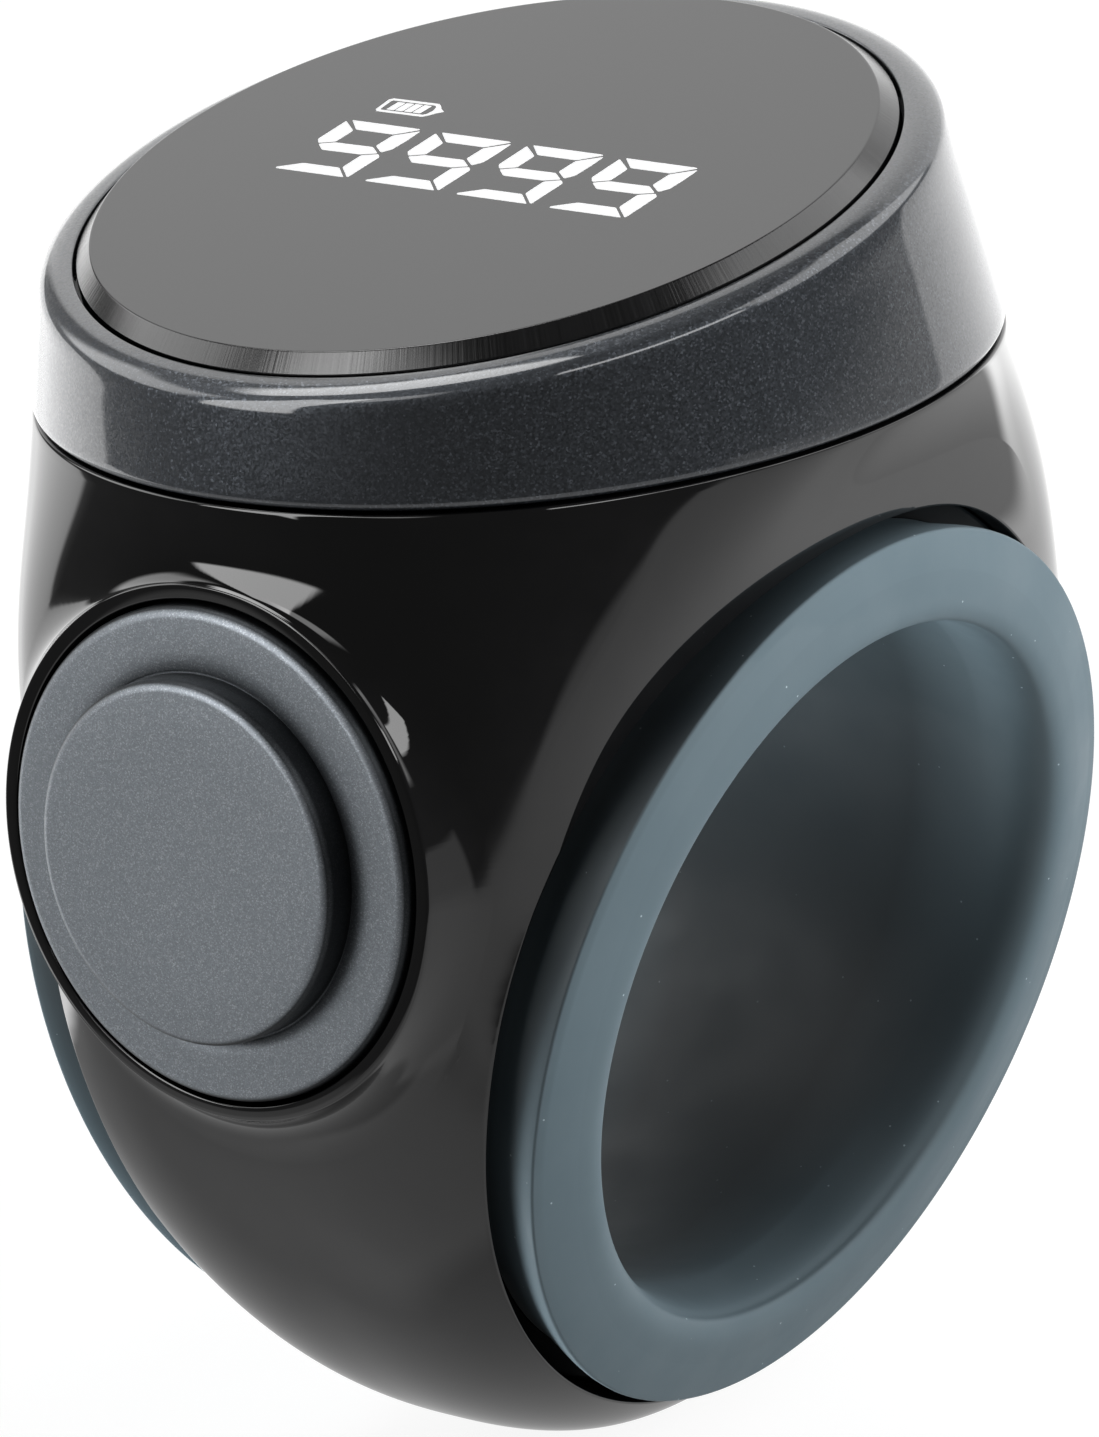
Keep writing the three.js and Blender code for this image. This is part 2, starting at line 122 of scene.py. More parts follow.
# ------------------------------------------------------- outline of the body
def curve(xs, ys):
    """Monotone cubic through knots, for arrays."""
    xs, ys = np.array(xs, float), np.array(ys, float)
    d = np.diff(ys) / np.diff(xs)
    m = np.empty(len(xs))
    m[0], m[-1] = d[0], d[-1]
    for i in range(1, len(xs) - 1):
        w1 = 2 * (xs[i + 1] - xs[i]) + (xs[i] - xs[i - 1])
        w2 = (xs[i + 1] - xs[i]) + 2 * (xs[i] - xs[i - 1])
        m[i] = 0.0 if d[i - 1] * d[i] <= 0 else (w1 + w2) / (w1 / d[i - 1] + w2 / d[i])

    def f(x):
        i = np.clip(np.searchsorted(xs, x, side="left") - 1, 0, len(xs) - 2)
        h = xs[i + 1] - xs[i]
        t = np.clip((x - xs[i]) / h, 0, 1)
        return ((2 * t**3 - 3 * t**2 + 1) * ys[i] + (t**3 - 2 * t**2 + t) * h * m[i]
                + (3 * t**2 - 2 * t**3) * ys[i + 1] + (t**3 - t**2) * h * m[i + 1])
    return f


KZ = [0, 4, 8, 11.8, 13.3, PARTING_Z]
front_depth = curve(KZ, [BARREL_R, 13.1, 12.7, 12.25, 12.08, HEAD_R])
back_depth = curve(KZ, [BARREL_R, 13.45, 12.85, 12.15, 12.05, HEAD_R])
power = curve(KZ, [2.661, 4.57, 5.21, 3.21, 2.41, 2.0])
RIM_TOP, RIM_LOW = 9.0, -11.45


def rim_width(z, b, n):
    r = np.sqrt(RIM_R**2 - z * z) / b
    u = np.clip((2.0 - z) / 7.0, 0, 1)
    depth = RIM_DEPTH - 0.16 * u * u * (3 - 2 * u)
    x = FLANGE_X - depth / math.cos(FLANGE_TILT) + math.tan(FLANGE_TILT) * z
    return x / (1 - r**n) ** (1 / n)




def shoulder(z):
    """Half width from the top of the side pockets up to the round parting line."""
    span = PARTING_Z - RIM_TOP
    t = (z - RIM_TOP) / span
    a0 = float(rim_width(RIM_TOP, 12.55, 4.7))
    return ((2 * t**3 - 3 * t**2 + 1) * a0 + (t**3 - 2 * t**2 + t) * span * 0.25
            + (3 * t**2 - 2 * t**3) * HEAD_R + (t**3 - t**2) * span * 0.85)


# The outline is tabulated along s, which runs up the middle of the body from
# its lowest point, and smoothed there so that reflections run without a break.
QUARTER = BARREL_R * math.pi / 2
STEP = 0.02
S = np.arange(0.0, QUARTER + PARTING_Z + STEP / 2, STEP)


def z_of(s):
    return np.where(s < QUARTER, -BARREL_R * np.cos(s / BARREL_R), s - QUARTER)


def s_of(z):
    return np.where(z < 0, BARREL_R * np.arccos(np.clip(-z / BARREL_R, -1, 1)), QUARTER + z)


def smoothed(v, sigma, odd):
    k = int(4 * sigma / STEP)
    w = np.exp(-0.5 * (np.arange(-k, k + 1) * STEP / sigma) ** 2)
    low = -v[k:0:-1] if odd else v[k:0:-1]
    high = 2 * v[-1] - v[-2:-k - 2:-1]
    return np.convolve(np.concatenate([low, v, high]), w / w.sum(), "valid")


def tabulate():
    z = z_of(S)
    low = np.sqrt(np.maximum(0, BARREL_R**2 - z * z))
    n = np.where(z > 0, power(z), 2.661)
    f = np.where(z > 0, front_depth(z), low)
    k = np.where(z > 0, back_depth(z), low)
    a = np.empty_like(z)
    mid = (z > RIM_LOW) & (z <= RIM_TOP)
    a[z > RIM_TOP] = shoulder(z[z > RIM_TOP])
    a[mid] = rim_width(z[mid], ((f + k) / 2)[mid], n[mid])
    edge = float(rim_width(RIM_LOW, math.sqrt(BARREL_R**2 - RIM_LOW**2), 2.661))
    foot = z <= RIM_LOW
    a[foot] = edge * ((BARREL_R + z[foot]) / (BARREL_R + RIM_LOW)) ** (1 / 2.23)
    return (smoothed(a, 1.0, True), smoothed(f, 1.1, True), smoothed(k, 1.1, True),
            smoothed(n, 1.3, False))


TA, TF, TK, TN = tabulate()


def level_radius(angle, s):
    """Distance of the outline from the z axis at an angle and a place s."""
    a, f, k, n = (np.interp(s, S, t) for t in (TA, TF, TK, TN))
    b = np.where(np.sin(angle) < 0, f, k)
    return ((np.abs(np.cos(angle)) / a) ** n + (np.abs(np.sin(angle)) / b) ** n) ** (-1 / n)


def inside(p):
    """Negative inside the outline, positive outside."""
    s = s_of(p[..., 2])
    a, f, k, n = (np.interp(s, S, t) for t in (TA, TF, TK, TN))
    b = np.where(p[..., 1] < 0, f, k)
    v = (np.abs(p[..., 0]) / a) ** n + (np.abs(p[..., 1]) / b) ** n - 1
    return np.where(np.abs(p[..., 2]) >= BARREL_R, np.where(p[..., 2] < 0, 1.0, v), v)


def on_surface(at, low, high):
    """Height between low (inside) and high (outside) where at(height) meets the outline."""
    low, high = low.copy(), high.copy()
    for _ in range(44):
        mid = (low + high) / 2
        within = inside(at(mid)) < 0
        low, high = np.where(within, mid, low), np.where(within, high, mid)
    return (low + high) / 2


# ----------------------------------------------------------------- mesh tools
def make_object(name, verts, faces, sharp=35.0, shift=True):
    me = bpy.data.meshes.new(name)
    v = (np.asarray(verts, float) + (OFF if shift else 0.0)) * MM
    me.from_pydata(v.tolist(), [], [list(map(int, f)) for f in faces])
    me.validate()
    ob = bpy.data.objects.new(name, me)
    scene.collection.objects.link(ob)
    bm = bmesh.new()
    bm.from_mesh(me)
    bmesh.ops.recalc_face_normals(bm, faces=bm.faces)
    if bm.calc_volume(signed=True) < 0:
        bmesh.ops.reverse_faces(bm, faces=bm.faces)
    bm.to_mesh(me)
    bm.free()
    finish_shading(me, sharp)
    return ob


def finish_shading(me, sharp):
    me.polygons.foreach_set("use_smooth", np.ones(len(me.polygons), bool))
    me.set_sharp_from_angle(angle=math.radians(sharp))
    me.update()


def ring_faces(rows, cols, base=0, closed_rows=False):
    f = []
    for i in range(rows if closed_rows else rows - 1):
        a, b = base + i * cols, base + ((i + 1) % rows) * cols
        for j in range(cols):
            k = (j + 1) % cols
            f.append((a + j, a + k, b + k, b + j))
    return f


def loft(name, rows, start=None, end=None, closed_rows=False, sharp=35.0):
    """A closed skin over loops of equal length. start and end are the points
    that close its two ends."""
    rows = np.asarray(rows)
    m, n, _ = rows.shape
    verts = [rows.reshape(-1, 3)]
    faces = ring_faces(m, n, closed_rows=closed_rows)
    count = m * n
    for point, first in ((start, 0), (end, (m - 1) * n)):
        if point is not None:
            verts.append(np.asarray(point, float)[None])
            faces += [(first + j, first + (j + 1) % n, count) for j in range(n)]
            count += 1
    return make_object(name, np.concatenate(verts), faces, sharp)


def turned(name, place, profile, seg=192, sharp=35.0):
    """A lathe: profile of (radius, height) that starts and ends on the axis."""
    t = np.arange(seg) * 2 * math.pi / seg
    body = [p for p in profile if p[0] > 1e-9]
    rows = [place(r, t, h) for r, h in body]
    first = place(0.0, 0.0, profile[0][1]) if profile[0][0] < 1e-9 else None
    last = place(0.0, 0.0, profile[-1][1]) if profile[-1][0] < 1e-9 else None
    if first is None:
        return loft(name, rows, closed_rows=True, sharp=sharp)
    return loft(name, rows, start=first, end=last, sharp=sharp)


def arc(cx, cy, r, a0, a1, n=6):
    """Points of a circular arc, angles in degrees."""
    return [(cx + r * math.cos(math.radians(a)), cy + r * math.sin(math.radians(a)))
            for a in np.linspace(a0, a1, n)]


def bezier(p, n):
    """n points of the cubic Bezier with the four arrays p, ends included."""
    t = np.linspace(0, 1, n)[:, None, None]
    p0, p1, p2, p3 = (np.asarray(q)[None] for q in p)
    return (1 - t) ** 3 * p0 + 3 * t * (1 - t) ** 2 * p1 + 3 * t * t * (1 - t) * p2 + t**3 * p3


def spline_rows(points, per=5):
    """Centripetal Catmull-Rom through loops of points, dense rows out."""
    p = [np.asarray(q, float) for q in points]
    p = [2 * p[0] - p[1]] + p + [2 * p[-1] - p[-2]]
    rows = []
    for i in range(1, len(p) - 2):
        q = p[i - 1:i + 3]
        k = [np.zeros(q[0].shape[:-1] + (1,))]
        for a, b in zip(q, q[1:]):
            k.append(k[-1] + np.sqrt(np.linalg.norm(b - a, axis=-1, keepdims=True)))
        for u in np.linspace(0, 1, per, endpoint=False):
            t = k[1] + (k[2] - k[1]) * u
            l01 = q[0] * (k[1] - t) / (k[1] - k[0]) + q[1] * (t - k[0]) / (k[1] - k[0])
            l12 = q[1] * (k[2] - t) / (k[2] - k[1]) + q[2] * (t - k[1]) / (k[2] - k[1])
            l23 = q[2] * (k[3] - t) / (k[3] - k[2]) + q[3] * (t - k[2]) / (k[3] - k[2])
            l02 = l01 * (k[2] - t) / (k[2] - k[0]) + l12 * (t - k[0]) / (k[2] - k[0])
            l13 = l12 * (k[3] - t) / (k[3] - k[1]) + l23 * (t - k[1]) / (k[3] - k[1])
            rows.append(l02 * (k[2] - t) / (k[2] - k[1]) + l13 * (t - k[1]) / (k[2] - k[1]))
    rows.append(p[-2])
    return rows


# ------------------------------------------------------------------ body shell
def clip(verts, tris, g, project):
    """Keeps the part of a triangle mesh where g > 0. project moves points of
    the outline onto g = 0. Returns verts, tris and the indices on the cut."""
    verts, g = verts.copy(), g.copy()
    edges = np.sort(np.concatenate([tris[:, [0, 1]], tris[:, [1, 2]], tris[:, [2, 0]]]), axis=1)
    edges = np.unique(edges, axis=0)
    cross = g[edges[:, 0]] * g[edges[:, 1]] < 0
    e = edges[cross]
    t = g[e[:, 0]] / (g[e[:, 0]] - g[e[:, 1]])
    near = np.concatenate([e[t < 0.04][:, 0], e[t > 0.96][:, 1]])
    near = np.unique(near)
    if len(near):
        verts[near] = project(verts[near])
        g[near] = 0.0
    cross = g[edges[:, 0]] * g[edges[:, 1]] < 0
    e = edges[cross]
    t = (g[e[:, 0]] / (g[e[:, 0]] - g[e[:, 1]]))[:, None]
    new = project(verts[e[:, 0]] * (1 - t) + verts[e[:, 1]] * t)
    start = len(verts)
    between = {(a, b): start + i for i, (a, b) in enumerate(map(tuple, e))}
    verts = np.concatenate([verts, new])
    sign = np.sign(g)[tris]
    keep = (sign >= 0).all(1) & (sign > 0).any(1)
    mixed = (sign > 0).any(1) & (sign < 0).any(1)
    out = [tris[keep]]
    extra = []
    for tri in tris[mixed]:
        poly = []
        for i in range(3):
            a, b = int(tri[i]), int(tri[(i + 1) % 3])
            if g[a] >= 0:
                poly.append(a)
            if g[a] * g[b] < 0:
                poly.append(between[(min(a, b), max(a, b))])
        for i in range(1, len(poly) - 1):
            extra.append((poly[0], poly[i], poly[i + 1]))
    out.append(np.array(extra, int).reshape(-1, 3))
    tris = np.concatenate(out)
    ee = np.sort(np.concatenate([tris[:, [0, 1]], tris[:, [1, 2]], tris[:, [2, 0]]]), axis=1)
    u, c = np.unique(ee, axis=0, return_counts=True)
    rim = u[c == 1]
    flag = np.zeros(len(verts), bool)
    flag[:len(g)][g == 0] = True
    flag[start:] = True
    rim = rim[flag[rim].all(1)]
    # walk round the cut
    nxt = {}
    for a, b in rim.tolist():
        nxt.setdefault(a, []).append(b)
        nxt.setdefault(b, []).append(a)
    loop = [int(rim[0, 0])]
    before, here = None, loop[0]
    while True:
        step = [k for k in nxt[here] if k != before][0]
        if step == loop[0]:
            break
        loop.append(step)
        before, here = here, step
    if len(loop) != len(nxt):
        raise ValueError("the cut is not one loop: %d of %d" % (len(loop), len(nxt)))
    return verts, tris, np.array(loop)


def steady(angle):
    """Angles round a closed loop, made to grow steadily from the first."""
    a = np.unwrap(angle)
    if a[-1] < a[0]:
        return -steady(-angle)
    a = np.sort(a)
    gap = 1e-5
    for i in range(1, len(a)):
        a[i] = max(a[i], a[i - 1] + gap)
    return a


def patch_rows(verts, tris, loop, rows, centre):
    """Adds loops of points inside a rim loop and closes the last one with a
    fan around centre."""
    n = len(loop)
    base = len(verts)
    pts = np.concatenate(list(rows) + [centre[None]])
    idx = [loop] + [base + i * n + np.arange(n) for i in range(len(rows))]
    new = []
    for a, b in zip(idx, idx[1:]):
        a1, b1 = np.roll(a, -1), np.roll(b, -1)
        new.append(np.stack([a, a1, b1], 1))
        new.append(np.stack([a, b1, b], 1))
    last = idx[-1]
    new.append(np.stack([last, np.roll(last, -1), np.full(n, base + len(rows) * n)], 1))
    return np.concatenate([verts, pts]), np.concatenate([tris] + new)


def ease(x, lo, hi):
    u = np.clip((x - lo) / (hi - lo), 0, 1)
    return u * u * (3 - 2 * u)


def edge_run():
    """Angles round a side pocket, and how far its edge is moved along the
    pocket's axis so that it runs evenly."""
    turn = np.radians(np.arange(-180.0, 180.0, 2.0))
    at = lambda h: flange(1, np.full(turn.shape, RIM_R), turn, h)
    raw = on_surface(at, np.full(turn.shape, -3.2), np.full(turn.shape, 1.0))
    k = np.arange(-18, 19)
    w = np.exp(-0.5 * (k * 2.0 / 10.0) ** 2)
    even = sum(np.roll(raw, int(i)) * v for i, v in zip(k, w)) / w.sum()
    part = np.abs(np.degrees(turn))
    return turn, (even - raw) * ease(part, 60, 70) * (1 - ease(part, 122, 134))


RUN = edge_run()


def swell(r, angle, h):
    """Slight swell of the body towards the upper edge of a side pocket, and
    the evening out of its edge lower down."""
    part = ease(angle, math.radians(-46), math.radians(0)) * (
        1 - ease(angle, math.radians(70), math.radians(110))) * ease(h, -4.0, -2.2)
    more = np.interp(angle, RUN[0], RUN[1], period=2 * math.pi) * ease(h, -2.3, -1.5)
    return (part * 0.15 + more) * np.exp(-np.maximum(r - RIM_R, 0) / 1.0)


def build_body():
    cols = 512
    phi = (np.arange(cols) + 0.5) * 2 * math.pi / cols
    s0 = float(s_of(np.array(LAND_Z)))
    s1 = float(s_of(np.array(PARTING_Z - 0.08)))
    s = np.linspace(s0, s1, 224)
    grid = []
    for v in s:
        r = level_radius(phi, np.full(cols, v))
        grid.append(np.stack([r * np.cos(phi), r * np.sin(phi), np.full(cols, z_of(v))], 1))
    for inset, z in ((0.006, -0.045), (0.02, -0.02), (0.045, -0.006), (0.08, 0.0)):
        r = level_radius(phi, s_of(np.full(cols, PARTING_Z + z))) - inset
        grid.append(np.stack([r * np.cos(phi), r * np.sin(phi), np.full(cols, PARTING_Z + z)], 1))
    grid = np.array(grid)
    m = len(grid)
    verts = np.concatenate([grid.reshape(-1, 3), [[0, 0, LAND_Z], [0, 0, PARTING_Z]]])
    q = np.array(ring_faces(m, cols))
    tris = np.concatenate([q[:, [0, 1, 2]], q[:, [0, 2, 3]]])
    j = np.arange(cols)
    k = (j + 1) % cols
    tris = np.concatenate([tris, np.stack([k, j, np.full(cols, m * cols)], 1),
                           np.stack([(m - 1) * cols + j, (m - 1) * cols + k,
                                     np.full(cols, m * cols + 1)], 1)])

    # the two side pockets, with a finely rounded edge
    for sd in (1, -1):
        o, ax, ay, an = side_axes(sd)
        fil = 0.09

        def split(p):
            d = p - o
            u, v, h = d @ ax, d @ ay, d @ an
            return np.hypot(u, v), np.arctan2(v, u), h

        def surface(r, angle):
            at = lambda h: flange(sd, r, angle, h)
            low = np.full(np.shape(angle), -3.2)
            h = on_surface(at, low, np.full(np.shape(angle), 1.0))
            return h + swell(r, angle, h)

        def project(p):
            _, angle, _ = split(p)
            r = RIM_R + fil
            return flange(sd, r, angle, surface(r, angle))

        r, angle, h = split(verts)
        near = (h > -4.0) & (verts[:, 0] * sd > 0) & (r > RIM_R - 0.3)
        verts = verts + np.where(near, swell(r, angle, h), 0.0)[:, None] * an
        r, angle, h = split(verts)
        g = np.where((h > -4.0) & (verts[:, 0] * sd > 0), r - (RIM_R + fil), 9.0)
        verts, tris, loop = clip(verts, tris, g, project)
        angle = steady(split(verts[loop])[1])
        rim_r = RIM_R
        h0, hc = surface(rim_r + fil, angle), surface(rim_r, angle)
        verts[loop] = flange(sd, rim_r + fil, angle, h0)
        p0, pc = flange(sd, rim_r + fil, angle, h0), flange(sd, rim_r, angle, hc)
        p1 = flange(sd, rim_r, angle, hc - fil * 1.1)
        pa = p0 + (pc - p0) * 0.14
        rows = [pa] + list(bezier((pa, pa + (pc - pa) * 0.62, p1 + (pc - p1) * 0.62, p1), 8))[1:]
        rows += [flange(sd, rim_r - 0.02, angle, np.minimum(hc - 0.45, -1.8)),
                 flange(sd, rim_r - 0.12, angle, -1.9), flange(sd, 10.9, angle, -1.9)]
        verts, tris = patch_rows(verts, tris, loop, rows, flange(sd, 0.0, 0.0, np.array(-1.9)))

    # the button's collar, drawn out of the front with a soft hollow round it
    def split(p):
        d = p - BUTTON_O
        return np.hypot(d @ X, d @ BUTTON_U), np.arctan2(d @ BUTTON_U, d @ X), d @ PRESS

    def rim(angle):
        return 7.30 + 0.75 * np.sin(angle) ** 2

    def depth(r, angle):
        at = lambda h: button(r, angle, -h)
        return -on_surface(at, np.full(np.shape(angle), -6.0), np.full(np.shape(angle), 1.0))

    def project(p):
        for _ in range(2):
            _, angle, _ = split(p)
            p = button(rim(angle), angle, depth(rim(angle), angle))
        return p

    r, angle, h = split(verts)
    g = np.where((h < 3.4) & (verts[:, 1] < 0) & (np.abs(inside(verts)) < 2e-4), r - rim(angle), 9.0)
    verts, tris, loop = clip(verts, tris, g, project)
    angle = steady(split(verts[loop])[1])
    verts[loop] = button(rim(angle), angle, depth(rim(angle), angle))
    rows = []
    r_out, r_foot = rim(angle), rim(angle) - 0.10
    for u in np.linspace(0, 1, 3)[1:]:
        rr = r_out + (r_foot - r_out) * u
        rows.append(button(rr, angle, depth(rr, angle)))
    d_foot = depth(r_foot, angle)
    slope = (depth(r_foot + 0.05, angle) - depth(r_foot - 0.05, angle)) / 0.10
    r_mid = 6.56 + 0.44 * (r_foot - 6.56)
    d_mid = d_foot - slope * (r_foot - r_mid)
    land = lambda r: 0.245 - 0.16 * (r - 6.36) * np.sin(angle)
    top = land(6.56) + 0.062
    p3, p0 = button(6.56, angle, top), button(r_foot, angle, d_foot)
    p1 = button(r_mid, angle, d_mid)
    p2 = button(6.62 + 0.12 * np.clip(d_mid - 0.3, 0, 1), angle, top + 0.58 * np.maximum(d_mid - top, 0.05))
    rows += list(bezier((p0, p1, p2, p3), 22))[1:]
    for r, d in ((6.548, 0.036), (6.525, 0.013), (6.50, 0.003), (6.42, 0.0), (6.32, 0.0)):
        rows.append(button(r, angle, land(r) + d))
    for r, d in arc(6.225, 0.06, 0.06, -90, -180, 5):
        rows.append(button(r, angle, land(6.225) + d))
    for r, d in ((6.165, 0.5), (6.165, 1.35), (6.12, 1.4), (5.6, 1.4)):
        rows.append(button(r, angle, np.full_like(angle, d)))
    verts, tris = patch_rows(verts, tris, loop, rows, button(0.0, 0.0, np.array(1.4)))

    used = np.unique(tris)
    remap = np.full(len(verts), -1)
    remap[used] = np.arange(len(used))
    return make_object("body_skin", verts[used], remap[tris], sharp=50.0)


def cut(target, cutters, sharp):
    for c in cutters:
        mod = target.modifiers.new("cut", "BOOLEAN")
        mod.operation, mod.solver, mod.object = "DIFFERENCE", "MANIFOLD", c
    dg = bpy.context.evaluated_depsgraph_get()
    me = bpy.data.meshes.new_from_object(target.evaluated_get(dg))
    target.modifiers.clear()
    old = target.data
    target.data = me
    me.name = target.name
    bpy.data.meshes.remove(old)
    for c in cutters:
        m = c.data
        bpy.data.objects.remove(c)
        bpy.data.meshes.remove(m)
    finish_shading(me, sharp)


def along_x(r, angle, x):
    return polar(np.zeros(3), np.array([0, 1.0, 0]), np.array([0, 0, 1.0]), X, r, angle, x)


def along_z(cx, cy):
    return lambda r, angle, z: polar(np.array([cx, cy, 0.0]), X, np.array([0, 1.0, 0]),
                                     np.array([0, 0, 1.0]), r, angle, z)


def along_y(cx, cz):
    return lambda r, angle, y: polar(np.array([cx, 0.0, cz]), X, np.array([0, 0, 1.0]),
                                     np.array([0, 1.0, 0]), r, angle, y)


def body_cutters():
    out = [turned("c_bore", along_x, [(0, -16), (9.95, -16), (9.95, 16), (0, 16)], 160)]
    # the room under the board, cut away above the tube wall
    t = np.arange(96) * 2 * math.pi / 96
    rows = []
    for z, inset in ((11.25, 2.0), (11.4, 1.7), (12.4, 1.5), (13.4, 1.4), (PARTING_Z + 0.4, 1.4)):
        r = level_radius(t, s_of(np.full(96, min(z, PARTING_Z)))) - inset
        rows.append(np.stack([r * np.cos(t), r * np.sin(t), np.full(96, z)], 1))
    out.append(loft("c_room", rows, start=(0, 0, 11.25), end=(0, 0, PARTING_Z + 0.4)))
    out.append(turned("c_plunger", button, [(0, 1.0), (1.9, 1.0), (1.9, 2.4), (0, 2.4)], 64))
    v, f = box_mesh(-3.1, 3.1, 2.0, 5.2, -2.8, 4.2)
    p = BUTTON_O + v[:, :1] * X + v[:, 1:2] * PRESS + v[:, 2:] * BUTTON_U
    out.append(make_object("c_switch", p, f))
    for x in (1.6, -1.6):
        out.append(turned("c_pin", along_y(x, 9.4), [(0, 8.0), (1.0, 8.0), (1.0, 12.35), (1.6, 13.4), (0, 13.4)], 96))
    out.append(turned("c_seal", along_z(0, 0), [(10.8, PARTING_Z - 0.6), (11.3, PARTING_Z - 0.6),
                                                (11.3, PARTING_Z + 1), (10.8, PARTING_Z + 1)], 160))
    return out


def box_mesh(x0, x1, y0, y1, z0, z1):
    v = np.array([(x, y, z) for x in (x0, x1) for y in (y0, y1) for z in (z0, z1)], float)
    f = [(0, 1, 3, 2), (4, 6, 7, 5), (0, 4, 5, 1), (2, 3, 7, 6), (0, 2, 6, 4), (1, 5, 7, 3)]
    return v, f


body_skin = build_body()
cut(body_skin, body_cutters(), 50.0)


# ------------------------------------------------------------------------ bezel
def build_bezel():
    n = 384
    t = np.arange(n) * 2 * math.pi / n
    level = lambda r, z: np.stack([r * np.cos(t), r * np.sin(t), np.full(n, z)], 1)
    foot = 14.90
    edge = [level(r, z) for r, z in arc(HEAD_R - 0.24, foot + 0.24, 0.24, -90, 0, 8)]
    # the crown starts where its slope meets that of the wall
    start = np.arctan(0.50 / 0.84 * np.tan(np.radians(12.5 - 9.0 * np.sin(t))))
    crown = []
    for u in (0.0, 0.2, 0.4, 0.6, 0.8, 1.0):
        a = start + (math.pi / 2 - start) * u
        crown.append(glass(10.38 + 0.84 * np.cos(a), t, -0.50 + 0.50 * np.sin(a)))
    low = level(HEAD_R, foot + 0.24)
    rise = [(low + (crown[0] - low) * u) * np.array([1 + 0.006 * u * (1 - u), 1 + 0.006 * u * (1 - u), 1.0])
            for u in (0.25, 0.5, 0.75)]
    outer = spline_rows(edge[-1:] + rise + crown, 5)
    lip = [glass(r, t, h) for r, h in [(10.345, 0.0)] + arc(10.31, -0.05, 0.05, 90, 180, 5)]
    inner = [glass(10.26, t, -1.22), glass(9.3, t, -1.22), glass(9.3, t, -1.95)]
    rows = [level(10.35, foot), level(10.9, foot)] + edge[:-1] + outer + lip + inner
    return loft("bezel_ring", rows, closed_rows=True, sharp=40.0)


bezel_ring = build_bezel()

# ------------------------------------------------------------------ cover glass
glass_profile = [(0, -0.8), (10.08, -0.8), (10.17, -0.72), (10.17, -0.03), (10.158, 0.012),
                 (9.772, 0.378), (9.756, 0.392), (9.74, 0.4), (9.70, 0.4), (6.0, 0.4), (0, 0.4)]
glass_disc = turned("glass_disc", glass, glass_profile, 320, sharp=28.0)


# ---------------------------------------------------------------- finger sleeve
def build_sleeve():
    n = 320
    t = np.arange(n) * 2 * math.pi / n
    stretch = 1 / math.cos(FLANGE_TILT)
    lean = 0.11 * np.cos(t - math.radians(125))     # the moulded lip sits a touch low

    def oval(s, grow, h):
        # the bore cut by the leaning plane is an oval; grow widens it
        o, ax, ay, an = side_axes(s)
        wide = 8.8 * (1 + (stretch - 1) * max(0.0, 1 - grow / 0.55)) + grow
        return (o + (wide * np.cos(t))[:, None] * ax + ((8.8 + grow) * np.sin(t))[:, None] * ay
                + h * an)

    def half(s):
        mouth = [oval(s, g, h) for g, h in ((0.0, -1.6), (0.0, -0.9), (0.015, -0.6))]
        lip = [flange(s, r, t, h) for r, h in ((9.42, 0.425), (9.62, 0.462), (9.9, 0.44))]
        lip = [oval(s, 0.05, -0.36), oval(s, 0.13, -0.08), oval(s, 0.26, 0.16)] + [
            flange(s, r, t, h) for r, h in ((9.24, 0.345), (9.45, 0.445), (9.72, 0.475))]
        face = [flange(s, r, t, h) for r, h in ((10.2, 0.40), (10.8, 0.235), (11.25, 0.085))]
        inside_rows = spline_rows(mouth + lip + face, 4)
        rim = [flange(s, r + lean, t, h) for r, h in arc(11.43, -0.07, 0.09, 75, -10, 7)]
        under = [flange(s, r + lean * k, t, h) for r, h, k in (
            (11.51, -0.20, 1), (11.47, -0.38, 1), (11.40, -0.60, 0.8), (11.30, -0.90, 0.6),
            (11.18, -1.25, 0.4), (11.10, -1.60, 0.2), (11.06, -1.86, 0.1), (10.4, -1.86, 0))]
        return inside_rows + rim + under

    def tube_end(s, r, h):
        o, ax, ay, an = side_axes(s)
        return (o + (r * stretch * np.cos(t))[:, None] * ax + (r * np.sin(t))[:, None] * ay + h * an)

    bore = lambda x: np.stack([np.full(n, x), 8.8 * np.sin(t), 8.8 * np.cos(t)], 1)
    right, left = half(1), half(-1)
    rows = right + [tube_end(1, 9.7, -1.86), tube_end(-1, 9.7, -1.86)] + left[::-1]
    a, b = left[0], right[0]
    rows += [a + (b - a) * u for u in np.linspace(0, 1, 9)[1:-1]]
    rows = [r * np.array([1, 1, 1.0]) for r in rows]
    return loft("sleeve_skin", rows, closed_rows=True, sharp=45.0)


sleeve_skin = build_sleeve()

# ------------------------------------------------------------------- button cap
cap_profile = ([(0, -0.868)] + [(3.0, -0.868)] + arc(4.18, -0.598, 0.27, -90, 0, 10)
               + [(4.45, 0.04), (4.50, 0.04), (4.50, 0.015), (4.53, 0.0)]
               + [(5.0, 0.0)] + arc(5.755, 0.30, 0.30, -90, 0, 11)
               + [(6.055, 0.95), (5.96, 1.0), (1.5, 1.0), (1.5, 2.1), (1.1, 2.1), (1.1, 2.32), (0, 2.32)])
button_skin = turned("button_skin", button, cap_profile, 320, sharp=40.0)

# -------------------------------------------------------------- charging pins
pin_skins = {}
for pin_side, pin_x in (("right", 1.6), ("left", -1.6)):
    pin_profile = ([(0, 9.95), (0.5, 9.95), (0.5, 11.1), (0.7, 11.12), (0.75, 11.2), (0.75, 12.25)]
                   + arc(0.55, 12.30, 0.20, 0, 90, 7) + [(0, 12.5)])
    pin_skins[pin_side] = turned("pin_skin_" + pin_side, along_y(pin_x, 9.4), pin_profile, 64)

